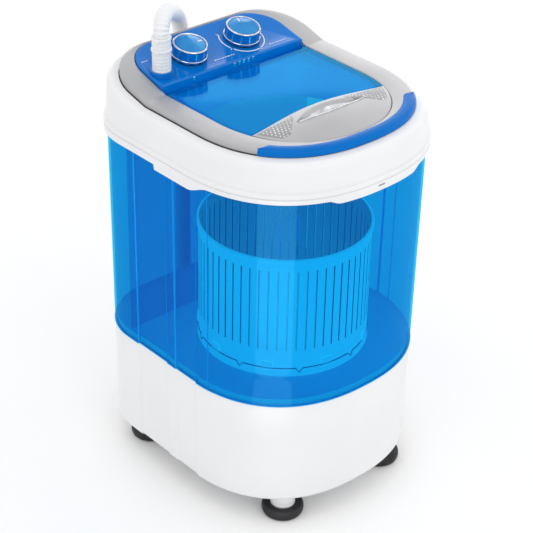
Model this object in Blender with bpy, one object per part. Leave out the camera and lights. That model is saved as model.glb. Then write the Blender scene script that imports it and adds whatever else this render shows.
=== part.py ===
"""Portable top load washing machine: white base, translucent blue tub, white top ring, silver trim
with a hinged lid, a sloping control panel with two knobs, and a drain hose hooked into the panel.

The machine is drawn around the axis of its tub, with the front at -Y, and is moved at the end so
that the world origin is under the middle of the machine, on the floor. Lengths are in metres.
"""

import math

import bmesh
import bpy
from mathutils import Matrix, Vector

# ---------------------------------------------------------------- driving dimensions
GAP = 0.0003  # between two pieces that touch
SLIDE_CLEARANCE = 0.0010  # around a piece that moves in another

# Footprint: straight back and sides, rounded rear corners, bowed front.
HALF_WIDTH = 0.170
FRONT_DEPTH = 0.165
REAR_DEPTH = 0.212
REAR_CORNER = 0.083
FRONT_POWER = 2.35  # superellipse power of the bowed front
DRAFT = 0.0067  # how much each wall leans out per unit of height

# Heights above the floor.
LEG_HEIGHT = 0.038
BASE_HEIGHT = 0.158
TUB_HEIGHT = 0.302
RING_HEIGHT = 0.053
DECK_RISE = 0.007  # top of the trim above the ring's inner edge
SEAM_Z = LEG_HEIGHT + BASE_HEIGHT
RING_Z = SEAM_Z + TUB_HEIGHT
RIM_Z = RING_Z + RING_HEIGHT
DECK_Z = RIM_Z + DECK_RISE

# Walls.
BASE_WALL = 0.0028
TUB_WALL = 0.0030
TUB_FLOOR = 0.0040
RING_WALL = 0.0025
TRIM_WALL = 0.0025
PANEL_WALL = 0.0040
PLATE_WALL = 0.0030

# Side relief of the base and the tub: a corner column, a recess with one rib, then the barrel.
COLUMN_FRONT_Y = 0.105
RIB_REAR_Y = 0.043
RIB_FRONT_Y = 0.025
BARREL_REAR_Y = -0.018
RECESS_DEPTH = 0.0022
RIB_RISE = 0.0014
STEP_RUN = 0.0012  # how far a step takes along Y

# Top ring.
RING_STAND = 0.0034  # how far its skirt stands outside the tub
RING_BEAD_HEIGHT = 0.014
RING_BEAD = 0.0012
RIM_INSET = 0.0155
PAD_REAR_Y = 0.055
PAD_FRONT_Y = -0.042
PAD_DROP = 0.011  # the side grips hang below the ring
FRONT_PAD_HALF = 0.070
FRONT_PAD_DROP = 0.006

# The rear of the ring and of the trim rises from this line.
RISE_START_Y = 0.098
RING_RISE = math.tan(math.radians(13.0))
TRIM_RISE = math.tan(math.radians(16.0))

# Opening in the trim for the lid and the control panel.
LID_HALF_WIDTH = 0.1210
LID_FRONT = 0.1310
LID_POWER = 2.25
PANEL_REAR = 0.1930
PANEL_CORNER = 0.046
SEAT_DEPTH = 0.014
THROAT_RADIUS = 0.1195
THROAT_DEPTH = 0.010
LID_FIT = 0.0006  # between the lid and the trim around it

# Lid.
HINGE_Y = 0.099
HINGE_DROP = 0.0055
LID_REAR_Y = 0.1030
WINDOW_THICKNESS = 0.0032
WINDOW_FRONT_Y = -0.057
WINDOW_BOW = 0.011
VISOR_THICKNESS = 0.0075
VISOR_CROWN = 0.0060
FINGER_HALF = 0.050
FINGER_Y = -0.072
FINGER_DEPTH = 0.0052
LID_PIN_RADIUS = 0.0020
LID_PIN_LENGTH = 0.0120
EAR_WIDTH = 0.0075

# Crescent in front of the lid.
CRESCENT_INNER = 0.1345
CRESCENT_END_X = 0.1290
CRESCENT_THICKNESS = 0.0017

# Control panel, which slopes up to the rear.
PANEL_TILT = math.radians(12.9)
PANEL_FRONT_Y = 0.1070
PANEL_STEP = 0.0075  # its front edge above the deck
PANEL_SEAT_GAP = 0.0022  # between its skirt and the trim under it
KNOB_SPACING = 0.091
KNOB_Y = 0.146
KNOB_RADIUS = 0.0229
KNOB_FLARE = 0.0018
KNOB_FOOT_RADIUS = KNOB_RADIUS + KNOB_FLARE
KNOB_HEIGHT = 0.0195
KNOB_LIFT = 0.0010
BEZEL_WIDTH = 0.0017
BEZEL_HEIGHT = 0.0022
KNOB_SHAFT_RADIUS = 0.0030
SWITCH_RADIUS = 0.0210
SWITCH_DEPTH = 0.0240
SWITCH_TOP = 0.0215
SWITCH_NECK_RADIUS = 0.0070

# Drain hose, its cuff in the panel and its elbow at the foot of the back.
HOSE_DIAMETER = 0.0215
HOSE_WALL = 0.0022
PORT_X = -0.101
PORT_Y = 0.132
PORT_WALL = 0.0022
CUFF_STAND = 0.00165  # outside the hose
CUFF_RADIUS = HOSE_DIAMETER / 2 + CUFF_STAND
CUFF_HEIGHT = 0.050
HOSE_DOWN_X = 0.012
HOSE_CLEARANCE = 0.0021266  # behind the ring's bead
HOSE_DOWN_Y = REAR_DEPTH + RING_STAND + RING_BEAD + DRAFT * TUB_HEIGHT + HOSE_DIAMETER / 2 + HOSE_CLEARANCE
ELBOW_Z = 0.088
ELBOW_EASE = 0.00005  # inside the hose's outer size
ELBOW_RADIUS = HOSE_DIAMETER / 2 - ELBOW_EASE
ELBOW_WALL = 0.0020
ELBOW_TOP_Z = 0.128
CLIP_Z = 0.340
CLIP_HEIGHT = 0.018
CLIP_WALL = 0.0022

# Feet.
FOOT_RADIUS = 0.0289
FOOT_HEIGHT = 0.0165
LEG_RADIUS = 0.0170
FRONT_FOOT = (0.092, -0.110)
REAR_FOOT = (0.120, 0.145)

# Basket, pulsator and drive line on the tub's axis.
BASKET_RADIUS = 0.1160
BASKET_RIM = 0.0022
BASKET_WALL = 0.0024
BASKET_BOTTOM_Z = 0.2035
BASKET_TOP_Z = 0.3820
BASKET_FLOOR_Z = 0.2330
SLOT_COUNT = 40
SLOT_LOW_Z = 0.2480
SLOT_HIGH_Z = 0.3600
SLOT_SHARE = 0.42
HUB_RADIUS = 0.0125
HUB_TOP_Z = 0.2600
PULSATOR_RADIUS = 0.0880
PULSATOR_Z = 0.2040
PULSATOR_FINS = 6
SHAFT_RADIUS = 0.0060
SHAFT_LOW_Z = 0.0560
BEARING_RADIUS = 0.0160
BEARING_HEIGHT = 0.0100
BEARING_HOUSING_WALL = 0.0040
BEARING_FLANGE = 0.0520
BEARING_LOW_Z = 0.1380
DRUM_PULLEY_RADIUS = 0.0450
MOTOR_PULLEY_RADIUS = 0.0100
PULLEY_Z = 0.0680
PULLEY_HEIGHT = 0.0120
BELT_THICKNESS = 0.0040
BELT_HEIGHT = 0.0060

# Motor and electrics in the base.
MOTOR_X = -0.078
MOTOR_Y = 0.072
MOTOR_RADIUS = 0.0450
MOTOR_LOW_Z = 0.0920
MOTOR_HEIGHT = 0.0660
MOTOR_WALL = 0.0020
ROTOR_RADIUS = 0.0200
MOTOR_SHAFT_RADIUS = 0.0040
MOUNT_RADIUS = 0.0080
MOUNT_HEIGHT = 0.0060
POST_RADIUS = 0.0050
POST_REACH = 0.0530
CAPACITOR_RADIUS = 0.0190
CAPACITOR_HEIGHT = 0.0620
CAPACITOR_PLACE = (0.098, 0.060)
GLAND_X = -0.070
GLAND_Z = 0.078
GLAND_RADIUS = 0.0080
DRAIN_PLACE = (0.060, 0.090)
DRAIN_RADIUS = 0.0085
PARTITION_Y = 0.1330
PARTITION_WALL = 0.0025
SCREW_HEAD_RADIUS = 0.0042
SCREW_INSET = 0.0120

# The world origin lies under the middle of the machine: its rearmost point is the elbow.
REAR_EXTENT = HOSE_DOWN_Y + ELBOW_RADIUS
FRONT_EXTENT = FRONT_DEPTH + RING_STAND + RING_BEAD + DRAFT * TUB_HEIGHT
SHIFT_Y = (FRONT_EXTENT - REAR_EXTENT) / 2

ROUND = 32  # sides of a round piece
SMALL_ROUND = 18

# ---------------------------------------------------------------- scene, materials, placing
for old in list(bpy.data.objects):
    bpy.data.objects.remove(old, do_unlink=True)


def material(name, colour, roughness, metallic=0.0, alpha=1.0, transmission=0.0):
    made = bpy.data.materials.new(name)
    made.use_nodes = True
    shader = made.node_tree.nodes["Principled BSDF"]
    shader.inputs["Base Color"].default_value = (*colour, 1.0)
    shader.inputs["Roughness"].default_value = roughness
    shader.inputs["Metallic"].default_value = metallic
    shader.inputs["Alpha"].default_value = alpha
    shader.inputs["Transmission Weight"].default_value = transmission
    return made


WHITE = material("white_plastic", (0.86, 0.87, 0.89), 0.32)
BLUE_CLEAR = material("blue_clear_plastic", (0.01, 0.26, 0.75), 0.10, alpha=0.5, transmission=0.6)
BLUE = material("blue_plastic", (0.0, 0.12, 0.62), 0.16)
SILVER = material("silver_paint", (0.47, 0.47, 0.50), 0.38, metallic=0.5)
CHROME = material("chrome", (0.85, 0.86, 0.88), 0.08, metallic=1.0)
RUBBER = material("black_rubber", (0.012, 0.012, 0.014), 0.55)
STEEL = material("steel", (0.55, 0.56, 0.58), 0.30, metallic=1.0)
HOSE_WHITE = material("hose_white", (0.82, 0.83, 0.85), 0.40)
BASKET_WHITE = material("basket_plastic", (0.62, 0.80, 0.90), 0.35)
COPPER = material("copper_winding", (0.60, 0.27, 0.12), 0.35, metallic=1.0)


def empty(name, location, rotation=(0.0, 0.0, 0.0), parent=None):
    made = bpy.data.objects.new(name, None)
    bpy.context.collection.objects.link(made)
    made.location = location
    made.rotation_euler = rotation
    made.parent = parent
    return made


machine = empty("machine", (0.0, SHIFT_Y, 0.0))


def place(name, mesh, look, parent=machine, location=(0.0, 0.0, 0.0), rotation=(0.0, 0.0, 0.0)):
    made = bpy.data.objects.new(name, mesh)
    bpy.context.collection.objects.link(made)
    mesh.materials.append(look)
    made.location = location
    made.rotation_euler = rotation
    made.parent = parent
    return made


def finish_mesh(name, work, smooth_degrees=35.0):
    """The mesh of a bmesh whose faces close one body, with its faces turned out."""
    bmesh.ops.recalc_face_normals(work, faces=work.faces)
    mesh = bpy.data.meshes.new(name)
    work.to_mesh(mesh)
    work.free()
    mesh.shade_smooth()
    mesh.set_sharp_from_angle(angle=math.radians(smooth_degrees))
    return mesh


# ---------------------------------------------------------------- outlines
def front_angles():
    """Angles of the superellipse front, from just in front of the side grips to the middle."""
    start = math.asin((-PAD_FRONT_Y + STEP_RUN) / FRONT_DEPTH) * FRONT_POWER / 2
    pad = math.acos((FRONT_PAD_HALF / HALF_WIDTH) ** (FRONT_POWER / 2))
    nudge = STEP_RUN / FRONT_DEPTH
    steps = 5
    wide = [start + (pad - nudge - start) * i / steps for i in range(steps + 1)]
    narrow = [pad + nudge + (math.pi / 2 - pad - nudge) * i / 3 for i in range(4)]
    return wide + narrow


FRONT_ANGLES = front_angles()
SIDE_STATIONS = [
    y + run
    for y in (COLUMN_FRONT_Y, PAD_REAR_Y, RIB_REAR_Y, RIB_FRONT_Y, BARREL_REAR_Y, PAD_FRONT_Y)
    for run in (STEP_RUN / 2, -STEP_RUN / 2)
]


def relief_at(y):
    """How far the wall of the base and the tub is set in from the plain outline, on its sides."""
    if y > COLUMN_FRONT_Y or y < BARREL_REAR_Y:
        return 0.0
    if RIB_FRONT_Y < y < RIB_REAR_Y:
        return RECESS_DEPTH - RIB_RISE
    return RECESS_DEPTH


def outline(half_width, front, rear, corner, power=FRONT_POWER, relief=False):
    """A D outline, anticlockwise from the middle of the back's left end, as (x, y) pairs."""
    corner_steps = 6
    left = []
    for i in range(corner_steps + 1):
        turn = math.pi / 2 * (1 + i / corner_steps)
        left.append(
            (
                -(half_width - corner) + corner * math.cos(turn),
                rear - corner + corner * math.sin(turn),
            )
        )
    for y in SIDE_STATIONS:
        y = min(y, rear - corner - STEP_RUN / 4)
        bow = max(0.0, 1 - (max(0.0, -y) / front) ** power) ** (1 / power)
        left.append((-half_width * bow + (relief_at(y) if relief else 0.0), y))
    for turn in FRONT_ANGLES[:-1]:
        across = half_width * math.cos(turn) ** (2 / power)
        left.append((-across, -front * math.sin(turn) ** (2 / power)))
    middle = [(0.0, -front)]
    right = [(-x, y) for x, y in reversed(left)]
    return left + middle + right


def body_outline(offset, relief=False):
    """The machine's footprint, grown by offset."""
    return outline(
        HALF_WIDTH + offset,
        FRONT_DEPTH + offset,
        REAR_DEPTH + offset,
        REAR_CORNER + offset,
        relief=relief,
    )


def wall_outline(offset, z, relief=True):
    return body_outline(offset + DRAFT * (z - SEAM_Z), relief)


def opening_outline(offset):
    """The opening in the trim that the lid and the control panel fill together."""
    return outline(
        LID_HALF_WIDTH + offset,
        LID_FRONT + offset,
        PANEL_REAR + offset,
        PANEL_CORNER + offset,
        power=LID_POWER,
    )


def fuller_back(points, count=4):
    """The outline with points added along its straight back, which closes it."""
    (x0, y0), (x1, y1) = points[-1], points[0]
    shares = [i / (count + 1) for i in range(1, count + 1)]
    return points + [(x0 + (x1 - x0) * t, y0 + (y1 - y0) * t) for t in shares]


def onto_circle(points, radius):
    """The points moved along their own rays from the tub's axis onto a circle."""
    return [(x * radius / math.hypot(x, y), y * radius / math.hypot(x, y)) for x, y in points]


def ring_rise(y):
    return max(0.0, y - RISE_START_Y) * RING_RISE


def trim_rise(y):
    return max(0.0, y - RISE_START_Y) * TRIM_RISE


# ---------------------------------------------------------------- solids
def at_height(points, z):
    """3-D points of an outline at a height, which may be a function of x and y."""
    return [(x, y, z(x, y) if callable(z) else z) for x, y in points]


def loft(name, rings, closed=False, smooth_degrees=35.0):
    """A solid through rings of equal count: a closed loop of rings, or capped at both ends."""
    work = bmesh.new()
    rows = [[work.verts.new(point) for point in ring] for ring in rings]
    count = len(rows[0])
    pairs = list(zip(rows, rows[1:]))
    if closed:
        pairs.append((rows[-1], rows[0]))
    for low, high in pairs:
        for i in range(count):
            j = (i + 1) % count
            work.faces.new((low[i], low[j], high[j], high[i]))
    if not closed:
        work.faces.new(rows[0])
        work.faces.new(rows[-1])
    return finish_mesh(name, work, smooth_degrees)


def turned(name, profile, sides=ROUND, closed=False):
    """A solid of revolution about Z. An open profile starts and ends on the axis."""
    work = bmesh.new()
    rows = []
    for radius, z in profile:
        if radius == 0.0:
            rows.append([work.verts.new((0.0, 0.0, z))])
            continue
        turns = [2 * math.pi * i / sides for i in range(sides)]
        rows.append([work.verts.new((radius * math.cos(t), radius * math.sin(t), z)) for t in turns])
    pairs = list(zip(rows, rows[1:]))
    if closed:
        pairs.append((rows[-1], rows[0]))
    for low, high in pairs:
        if len(low) == len(high) == 1:
            continue
        for i in range(sides):
            j = (i + 1) % sides
            corners = [low[i % len(low)], low[j % len(low)], high[j % len(high)], high[i % len(high)]]
            work.faces.new(list(dict.fromkeys(corners)))
    return finish_mesh(name, work)


def cylinder(name, radius, low, high, sides=ROUND):
    return turned(name, [(0.0, low), (radius, low), (radius, high), (0.0, high)], sides)


def ring_mesh(name, inner, outer, low, high, sides=ROUND):
    return turned(name, [(inner, low), (outer, low), (outer, high), (inner, high)], sides, closed=True)


def prism(name, points, low, high):
    """A flat plate: an outline extruded along Z."""
    return loft(name, [[(x, y, low) for x, y in points], [(x, y, high) for x, y in points]])


def box(name, low, high):
    points = [(low[0], low[1]), (high[0], low[1]), (high[0], high[1]), (low[0], high[1])]
    return prism(name, points, low[2], high[2])


def grid_solid(name, top, bottom):
    """A curved plate between two grids of points of equal size."""
    work = bmesh.new()
    up = [[work.verts.new(point) for point in row] for row in top]
    down = [[work.verts.new(point) for point in row] for row in bottom]
    rows, columns = len(top), len(top[0])
    for i in range(rows - 1):
        for j in range(columns - 1):
            work.faces.new((up[i][j], up[i][j + 1], up[i + 1][j + 1], up[i + 1][j]))
            work.faces.new((down[i][j], down[i + 1][j], down[i + 1][j + 1], down[i][j + 1]))
    for j in range(columns - 1):
        for i in (0, rows - 1):
            work.faces.new((up[i][j], up[i][j + 1], down[i][j + 1], down[i][j]))
    for i in range(rows - 1):
        for j in (0, columns - 1):
            work.faces.new((up[i][j], up[i + 1][j], down[i + 1][j], down[i][j]))
    return finish_mesh(name, work)


def pipe(name, path, outer, inner, sides=SMALL_ROUND):
    """A hollow pipe along a path of points."""
    points = [Vector(point) for point in path]
    ways = [
        (points[min(i + 1, len(points) - 1)] - points[max(i - 1, 0)]).normalized()
        for i in range(len(points))
    ]
    side = ways[0].orthogonal().normalized()
    loops = []
    for point, way in zip(points, ways):
        side = (side - way * side.dot(way)).normalized()
        other = way.cross(side)
        turns = [2 * math.pi * i / sides for i in range(sides)]
        spokes = [side * math.cos(t) + other * math.sin(t) for t in turns]
        loops.append(([point + s * outer for s in spokes], [point + s * inner for s in spokes]))
    rings = [out for out, _ in loops] + [bore for _, bore in reversed(loops)]
    return loft(name, rings, closed=True)


def arc_path(centre, radius, start, end, plane, steps=6):
    """Points of an arc in the YZ plane ("yz") or the XZ plane ("xz")."""
    points = []
    for i in range(steps + 1):
        turn = start + (end - start) * i / steps
        across, up = radius * math.cos(turn), radius * math.sin(turn)
        shift = (0.0, across, up) if plane == "yz" else (across, 0.0, up)
        points.append(tuple(c + s for c, s in zip(centre, shift)))
    return points


def boolean(target, cutter, operation):
    """Cuts or joins a helper mesh with a target; the helper stays as a wire guide."""
    cutter.hide_render = True
    cutter.display_type = "WIRE"
    modifier = target.modifiers.new(f"{operation.lower()}_{cutter.name}", "BOOLEAN")
    modifier.operation = operation
    modifier.object = cutter


def cut(target, mesh, **where):
    boolean(target, place(mesh.name, mesh, STEEL, **where), "DIFFERENCE")


def join(target, mesh, **where):
    boolean(target, place(mesh.name, mesh, STEEL, **where), "UNION")


# ---------------------------------------------------------------- base
FEET = [(side * x, y) for x, y in (FRONT_FOOT, REAR_FOOT) for side in (-1, 1)]
PLATE_Z = LEG_HEIGHT + GAP
PLATE_TOP = PLATE_Z + PLATE_WALL
BASE_FOLD = 0.008  # the base turns in this far at its foot


def make_base_shell():
    top = SEAM_Z - GAP
    foot = LEG_HEIGHT
    inner = -BASE_WALL
    rings = [
        at_height(wall_outline(-BASE_FOLD, foot), foot),
        at_height(wall_outline(-BASE_FOLD / 3, foot), foot),
        at_height(wall_outline(0.0, foot), foot + BASE_FOLD),
        at_height(wall_outline(0.0, top), top),
        at_height(wall_outline(inner, top), top),
        at_height(wall_outline(inner, foot), foot + BASE_FOLD),
        at_height(wall_outline(-BASE_FOLD, foot), foot + PLATE_WALL * 2),
    ]
    shell = place("base_shell", loft("base_shell", rings, closed=True), WHITE)
    bore = cylinder("cut_elbow_hole", ELBOW_RADIUS + GAP, -0.02, 0.02, SMALL_ROUND)
    cut(shell, bore, location=(HOSE_DOWN_X, REAR_DEPTH, ELBOW_Z), rotation=(math.pi / 2, 0.0, 0.0))
    bore = cylinder("cut_gland_hole", GLAND_RADIUS + GAP, -0.02, 0.02, SMALL_ROUND)
    cut(shell, bore, location=(GLAND_X, REAR_DEPTH, GLAND_Z), rotation=(math.pi / 2, 0.0, 0.0))


def make_base_plate():
    edge = wall_outline(-BASE_FOLD - GAP, LEG_HEIGHT)
    plate = place("base_plate", prism("base_plate", edge, PLATE_Z, PLATE_TOP), WHITE)
    for row in range(5):
        y = -0.056 + 0.018 * row
        slot = box(f"cut_vent_{row}", (-0.034, y, PLATE_Z - 0.01), (0.034, y + 0.006, PLATE_TOP + 0.01))
        cut(plate, slot)
    for number, (x, y) in enumerate(SCREWS, 1):
        cut(plate, cylinder(f"cut_screw_hole_{number}", 0.0024, 0.02, 0.06, 12), location=(x, y, 0.0))


def make_foot(number, x, y):
    """A leg under the base plate, and a rubber cup around its lower end."""
    leg = cylinder("leg", LEG_RADIUS, FOOT_HEIGHT * 0.35, PLATE_Z - GAP, 24)
    place(f"leg_{number}", leg, WHITE, location=(x, y, 0.0))
    bore = LEG_RADIUS + GAP
    under_leg = FOOT_HEIGHT * 0.35 - GAP
    profile = [
        (0.0, 0.0),
        (FOOT_RADIUS * 0.86, 0.0),
        (FOOT_RADIUS * 0.97, FOOT_HEIGHT * 0.15),
        (FOOT_RADIUS, FOOT_HEIGHT * 0.45),
        (FOOT_RADIUS * 0.93, FOOT_HEIGHT * 0.82),
        (FOOT_RADIUS * 0.78, FOOT_HEIGHT),
        (bore, FOOT_HEIGHT * 0.92),
        (bore, under_leg),
        (0.0, under_leg),
    ]
    place(f"rubber_foot_{number}", turned("rubber_foot", profile, 28), RUBBER, location=(x, y, 0.0))


SCREWS = [(0.0, 0.185), (0.0, -0.135), (0.140, 0.050), (-0.140, 0.050)]


def make_base_screw(number, x, y):
    profile = [
        (0.0, PLATE_Z - GAP - 0.0022),
        (SCREW_HEAD_RADIUS, PLATE_Z - GAP - 0.0016),
        (SCREW_HEAD_RADIUS, PLATE_Z - GAP),
        (0.0020, PLATE_Z - GAP),
        (0.0020, PLATE_TOP + 0.008),
        (0.0, PLATE_TOP + 0.010),
    ]
    place(f"base_screw_{number}", turned("base_screw", profile, 12), STEEL, location=(x, y, 0.0))


# ---------------------------------------------------------------- tub
TUB_TOP_Z = RING_Z + RING_HEIGHT * 0.45
FLOOR_TOP_Z = SEAM_Z + TUB_FLOOR
PARTITION_TOP_Z = RING_Z - 0.006


def make_tub_housing():
    low = SEAM_Z
    inner = -TUB_WALL
    rings = [
        at_height(wall_outline(0.0, low), low),
        at_height(wall_outline(0.0, TUB_TOP_Z), TUB_TOP_Z),
        at_height(wall_outline(inner, TUB_TOP_Z), TUB_TOP_Z),
        at_height(wall_outline(inner, low), FLOOR_TOP_Z),
    ]
    tub = place("tub_housing", loft("tub_housing", rings), BLUE_CLEAR)
    cut(tub, cylinder("cut_shaft_hole", BEARING_RADIUS, low - 0.01, FLOOR_TOP_Z + 0.01))
    hole = cylinder("cut_drain_hole", DRAIN_RADIUS - 0.0025, low - 0.01, FLOOR_TOP_Z + 0.01, SMALL_ROUND)
    cut(tub, hole, location=(*DRAIN_PLACE, 0.0))


def make_tub_partition():
    """The wall between the wash space and the hose and wiring behind it."""
    reach = HALF_WIDTH - TUB_WALL - RECESS_DEPTH - 0.006
    corner = math.sqrt(REAR_CORNER**2 - (PARTITION_Y + PARTITION_WALL - (REAR_DEPTH - REAR_CORNER)) ** 2)
    reach = min(reach, HALF_WIDTH - REAR_CORNER + corner - TUB_WALL - 0.001)
    low, high = FLOOR_TOP_Z + GAP, PARTITION_TOP_Z
    wall = box(
        "tub_partition",
        (-reach, PARTITION_Y, low),
        (reach, PARTITION_Y + PARTITION_WALL, high),
    )
    place("tub_partition", wall, BLUE_CLEAR)


# ---------------------------------------------------------------- top ring and trim
def ring_foot(x, y):
    """Height of the ring's lower edge: it hangs lower at the two side grips and at the front."""
    if PAD_FRONT_Y < y < PAD_REAR_Y:
        return RING_Z - PAD_DROP
    if y < 0 and abs(x) < FRONT_PAD_HALF:
        return RING_Z - FRONT_PAD_DROP
    return RING_Z


def make_top_ring():
    grown = DRAFT * TUB_HEIGHT
    stand = RING_STAND + grown
    inner = stand - RING_WALL
    bead_z = RING_Z + RING_BEAD_HEIGHT

    def rim(inset, drop):
        return at_height(body_outline(inset), lambda x, y: RIM_Z - drop + ring_rise(y))

    rings = [
        at_height(body_outline(inner), ring_foot),
        at_height(body_outline(stand), ring_foot),
        at_height(body_outline(stand + RING_BEAD), lambda x, y: ring_foot(x, y) + 0.003),
        at_height(body_outline(stand + RING_BEAD), bead_z),
        at_height(body_outline(stand - 0.001), bead_z + 0.004),
        rim(stand - 0.002, 0.018),
        rim(stand - 0.0045, 0.009),
        rim(stand - 0.010, 0.0025),
        rim(-RIM_INSET, 0.0),
        rim(-RIM_INSET, 0.009),
        rim(inner - 0.006, 0.014),
        at_height(body_outline(inner), TUB_TOP_Z + 0.002),
    ]
    ring = place("top_ring", loft("top_ring", rings, closed=True), WHITE)
    slot = box(
        "cut_latch_slot",
        (-0.006, -FRONT_EXTENT - 0.01, RING_Z + 0.0015),
        (0.006, -FRONT_EXTENT + RING_BEAD * 1.4, RING_Z + 0.0045),
    )
    cut(ring, slot)


def seat_height(x, y):
    return DECK_Z - SEAT_DEPTH + trim_rise(y)


def deck_height(x, y):
    return DECK_Z + trim_rise(y)


def make_trim_frame():
    outer = -RIM_INSET - GAP
    skirt = 0.009

    def mouth(offset):
        return fuller_back(opening_outline(offset))

    def edge(offset):
        return fuller_back(body_outline(offset))

    opening = mouth(0.0)
    throat_top = DECK_Z - SEAT_DEPTH
    throat_low = throat_top - THROAT_DEPTH
    circle = onto_circle(opening, THROAT_RADIUS)
    outside = onto_circle(opening, THROAT_RADIUS + TRIM_WALL)

    def hang(x, y):
        return RIM_Z - skirt + 0.001 + ring_rise(y)

    rings = [
        at_height(edge(outer), hang),
        at_height(edge(outer), lambda x, y: deck_height(x, y) - 0.0025),
        at_height(edge(outer - 0.0022), deck_height),
        at_height(mouth(0.0012), deck_height),
        at_height(opening, lambda x, y: deck_height(x, y) - 0.0012),
        at_height(opening, seat_height),
        at_height(circle, seat_height),
        at_height(circle, throat_low),
        at_height(outside, throat_low),
        at_height(outside, lambda x, y: seat_height(x, y) - TRIM_WALL),
        at_height(mouth(TRIM_WALL), lambda x, y: seat_height(x, y) - TRIM_WALL),
        at_height(mouth(TRIM_WALL), lambda x, y: deck_height(x, y) - 0.0012 - TRIM_WALL),
        at_height(edge(outer - TRIM_WALL), lambda x, y: deck_height(x, y) - 0.0025 - TRIM_WALL),
        at_height(edge(outer - TRIM_WALL), hang),
    ]
    trim = place("trim_frame", loft("trim_frame", rings, closed=True), SILVER)
    for side in (-1, 1):
        reach = LID_HALF_WIDTH + LID_FIT + TRIM_WALL / 2
        mesh = cylinder(f"cut_pin_socket_{side}", LID_PIN_RADIUS + GAP, -0.0040, 0.0040, 12)
        where = (side * reach, HINGE_Y, DECK_Z - HINGE_DROP)
        cut(trim, mesh, location=where, rotation=(0.0, math.pi / 2, 0.0))
    for name, axis in (("selector", selector_axis), ("timer", timer_axis)):
        mesh = cylinder(f"cut_{name}_neck_hole", SWITCH_NECK_RADIUS + SLIDE_CLEARANCE, -0.040, -0.006, 20)
        cut(trim, mesh, parent=axis)
    mesh = cylinder("cut_port_hole", PORT_OUTER + SLIDE_CLEARANCE, -0.03, 0.03, SMALL_ROUND)
    cut(trim, mesh, location=(PORT_X, PORT_Y, PORT_Z))


def make_crescent():
    """A bowed strip on the trim in front of the lid, with a lip that turns down over its edge."""
    columns = 24
    low = DECK_Z + GAP
    high = low + CRESCENT_THICKNESS
    drop = RIM_Z + 2 * GAP
    outer = -RIM_INSET
    half, depth = HALF_WIDTH + outer, FRONT_DEPTH + outer
    reach = math.acos((CRESCENT_END_X / half) ** (FRONT_POWER / 2))
    rows_top, rows_low = [], []
    for i in range(columns + 1):
        side = -1 if i < columns / 2 else 1
        turn = math.pi / 2 - abs(math.pi / 2 - reach) * abs(2 * i / columns - 1)
        cosine = max(0.0, math.cos(turn))
        x = side * half * cosine ** (2 / FRONT_POWER)
        y = -depth * math.sin(turn) ** (2 / FRONT_POWER)
        along = x / CRESCENT_END_X
        taper = 0.0035 + (CRESCENT_WIDTH - 0.0035) * (1 - along**2)
        way = Vector((x, y)).normalized()
        inner_x, inner_y = x - way.x * taper, y - way.y * taper
        over_x, over_y = x + way.x * 0.0004, y + way.y * 0.0004
        lip_x, lip_y = x + way.x * 0.0019, y + way.y * 0.0019
        rows_top.append([(inner_x, inner_y, high), (x, y, high), (lip_x, lip_y, high - 0.0012),
                         (lip_x, lip_y, drop)])
        rows_low.append([(inner_x, inner_y, low), (x - way.x * 0.0006, y - way.y * 0.0006, low),
                         (over_x, over_y, low), (over_x, over_y, drop)])
    place("crescent_accent", grid_solid("crescent_accent", rows_top, rows_low), BLUE)


CRESCENT_WIDTH = FRONT_DEPTH - RIM_INSET - CRESCENT_INNER


# ---------------------------------------------------------------- lid
def lid_side_x(y, inset):
    front = LID_FRONT - inset
    bow = max(0.0, 1 - (max(0.0, -y) / front) ** LID_POWER) ** (1 / LID_POWER)
    return (LID_HALF_WIDTH - inset) * bow


def window_edge_y(x):
    """The line where the window meets the visor, bowed towards the rear."""
    corner = lid_side_x(WINDOW_FRONT_Y, LID_FIT)
    return WINDOW_FRONT_Y + WINDOW_BOW * math.cos(math.pi / 2 * min(1.0, abs(x) / corner)) ** 1.5


def make_lid():
    hinge = empty("lid_hinge", (0.0, HINGE_Y, DECK_Z - HINGE_DROP), parent=machine)
    back = -HINGE_Y  # from machine coordinates to those of the hinge
    top = HINGE_DROP
    low = top - WINDOW_THICKNESS
    stations = [LID_REAR_Y - LID_REAR_Y * i / 3 for i in range(4)]
    stations += [WINDOW_FRONT_Y * i / 5 for i in range(1, 6)]
    left = [(-lid_side_x(y, LID_FIT), y + back) for y in stations]
    corner = lid_side_x(WINDOW_FRONT_Y, LID_FIT)
    front = [corner * (i / 8 - 1) for i in range(1, 16)]
    edge = [(x, window_edge_y(x) + back) for x in front]
    right = [(-x, y) for x, y in reversed(left)]
    window = place("lid_window", prism("lid_window", left + edge + right, low, top), BLUE_CLEAR, hinge)
    for side in (-1, 1):
        out = side * (LID_HALF_WIDTH - LID_FIT)
        inside = out - side * EAR_WIDTH
        ear_low = -LID_PIN_RADIUS - 0.0015
        ear = box(
            f"join_ear_{side}",
            (min(out, inside), -0.0040, ear_low),
            (max(out, inside), 0.0030, low + WINDOW_THICKNESS / 2),
        )
        join(window, ear, parent=hinge)
        mesh = cylinder(f"cut_ear_bore_{side}", LID_PIN_RADIUS + GAP, -0.012, 0.012, 12)
        cut(window, mesh, parent=hinge, location=(out, 0.0, 0.0), rotation=(0.0, math.pi / 2, 0.0))
        pin = cylinder("lid_pin", LID_PIN_RADIUS, -LID_PIN_LENGTH / 2, LID_PIN_LENGTH / 2, 12)
        name = "lid_pin_left" if side < 0 else "lid_pin_right"
        middle = side * (LID_HALF_WIDTH + LID_FIT + TRIM_WALL / 2 - LID_PIN_LENGTH / 2)
        place(name, pin, STEEL, hinge, location=(middle, 0.0, 0.0), rotation=(0.0, math.pi / 2, 0.0))
    make_visor(hinge, back, top)


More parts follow.
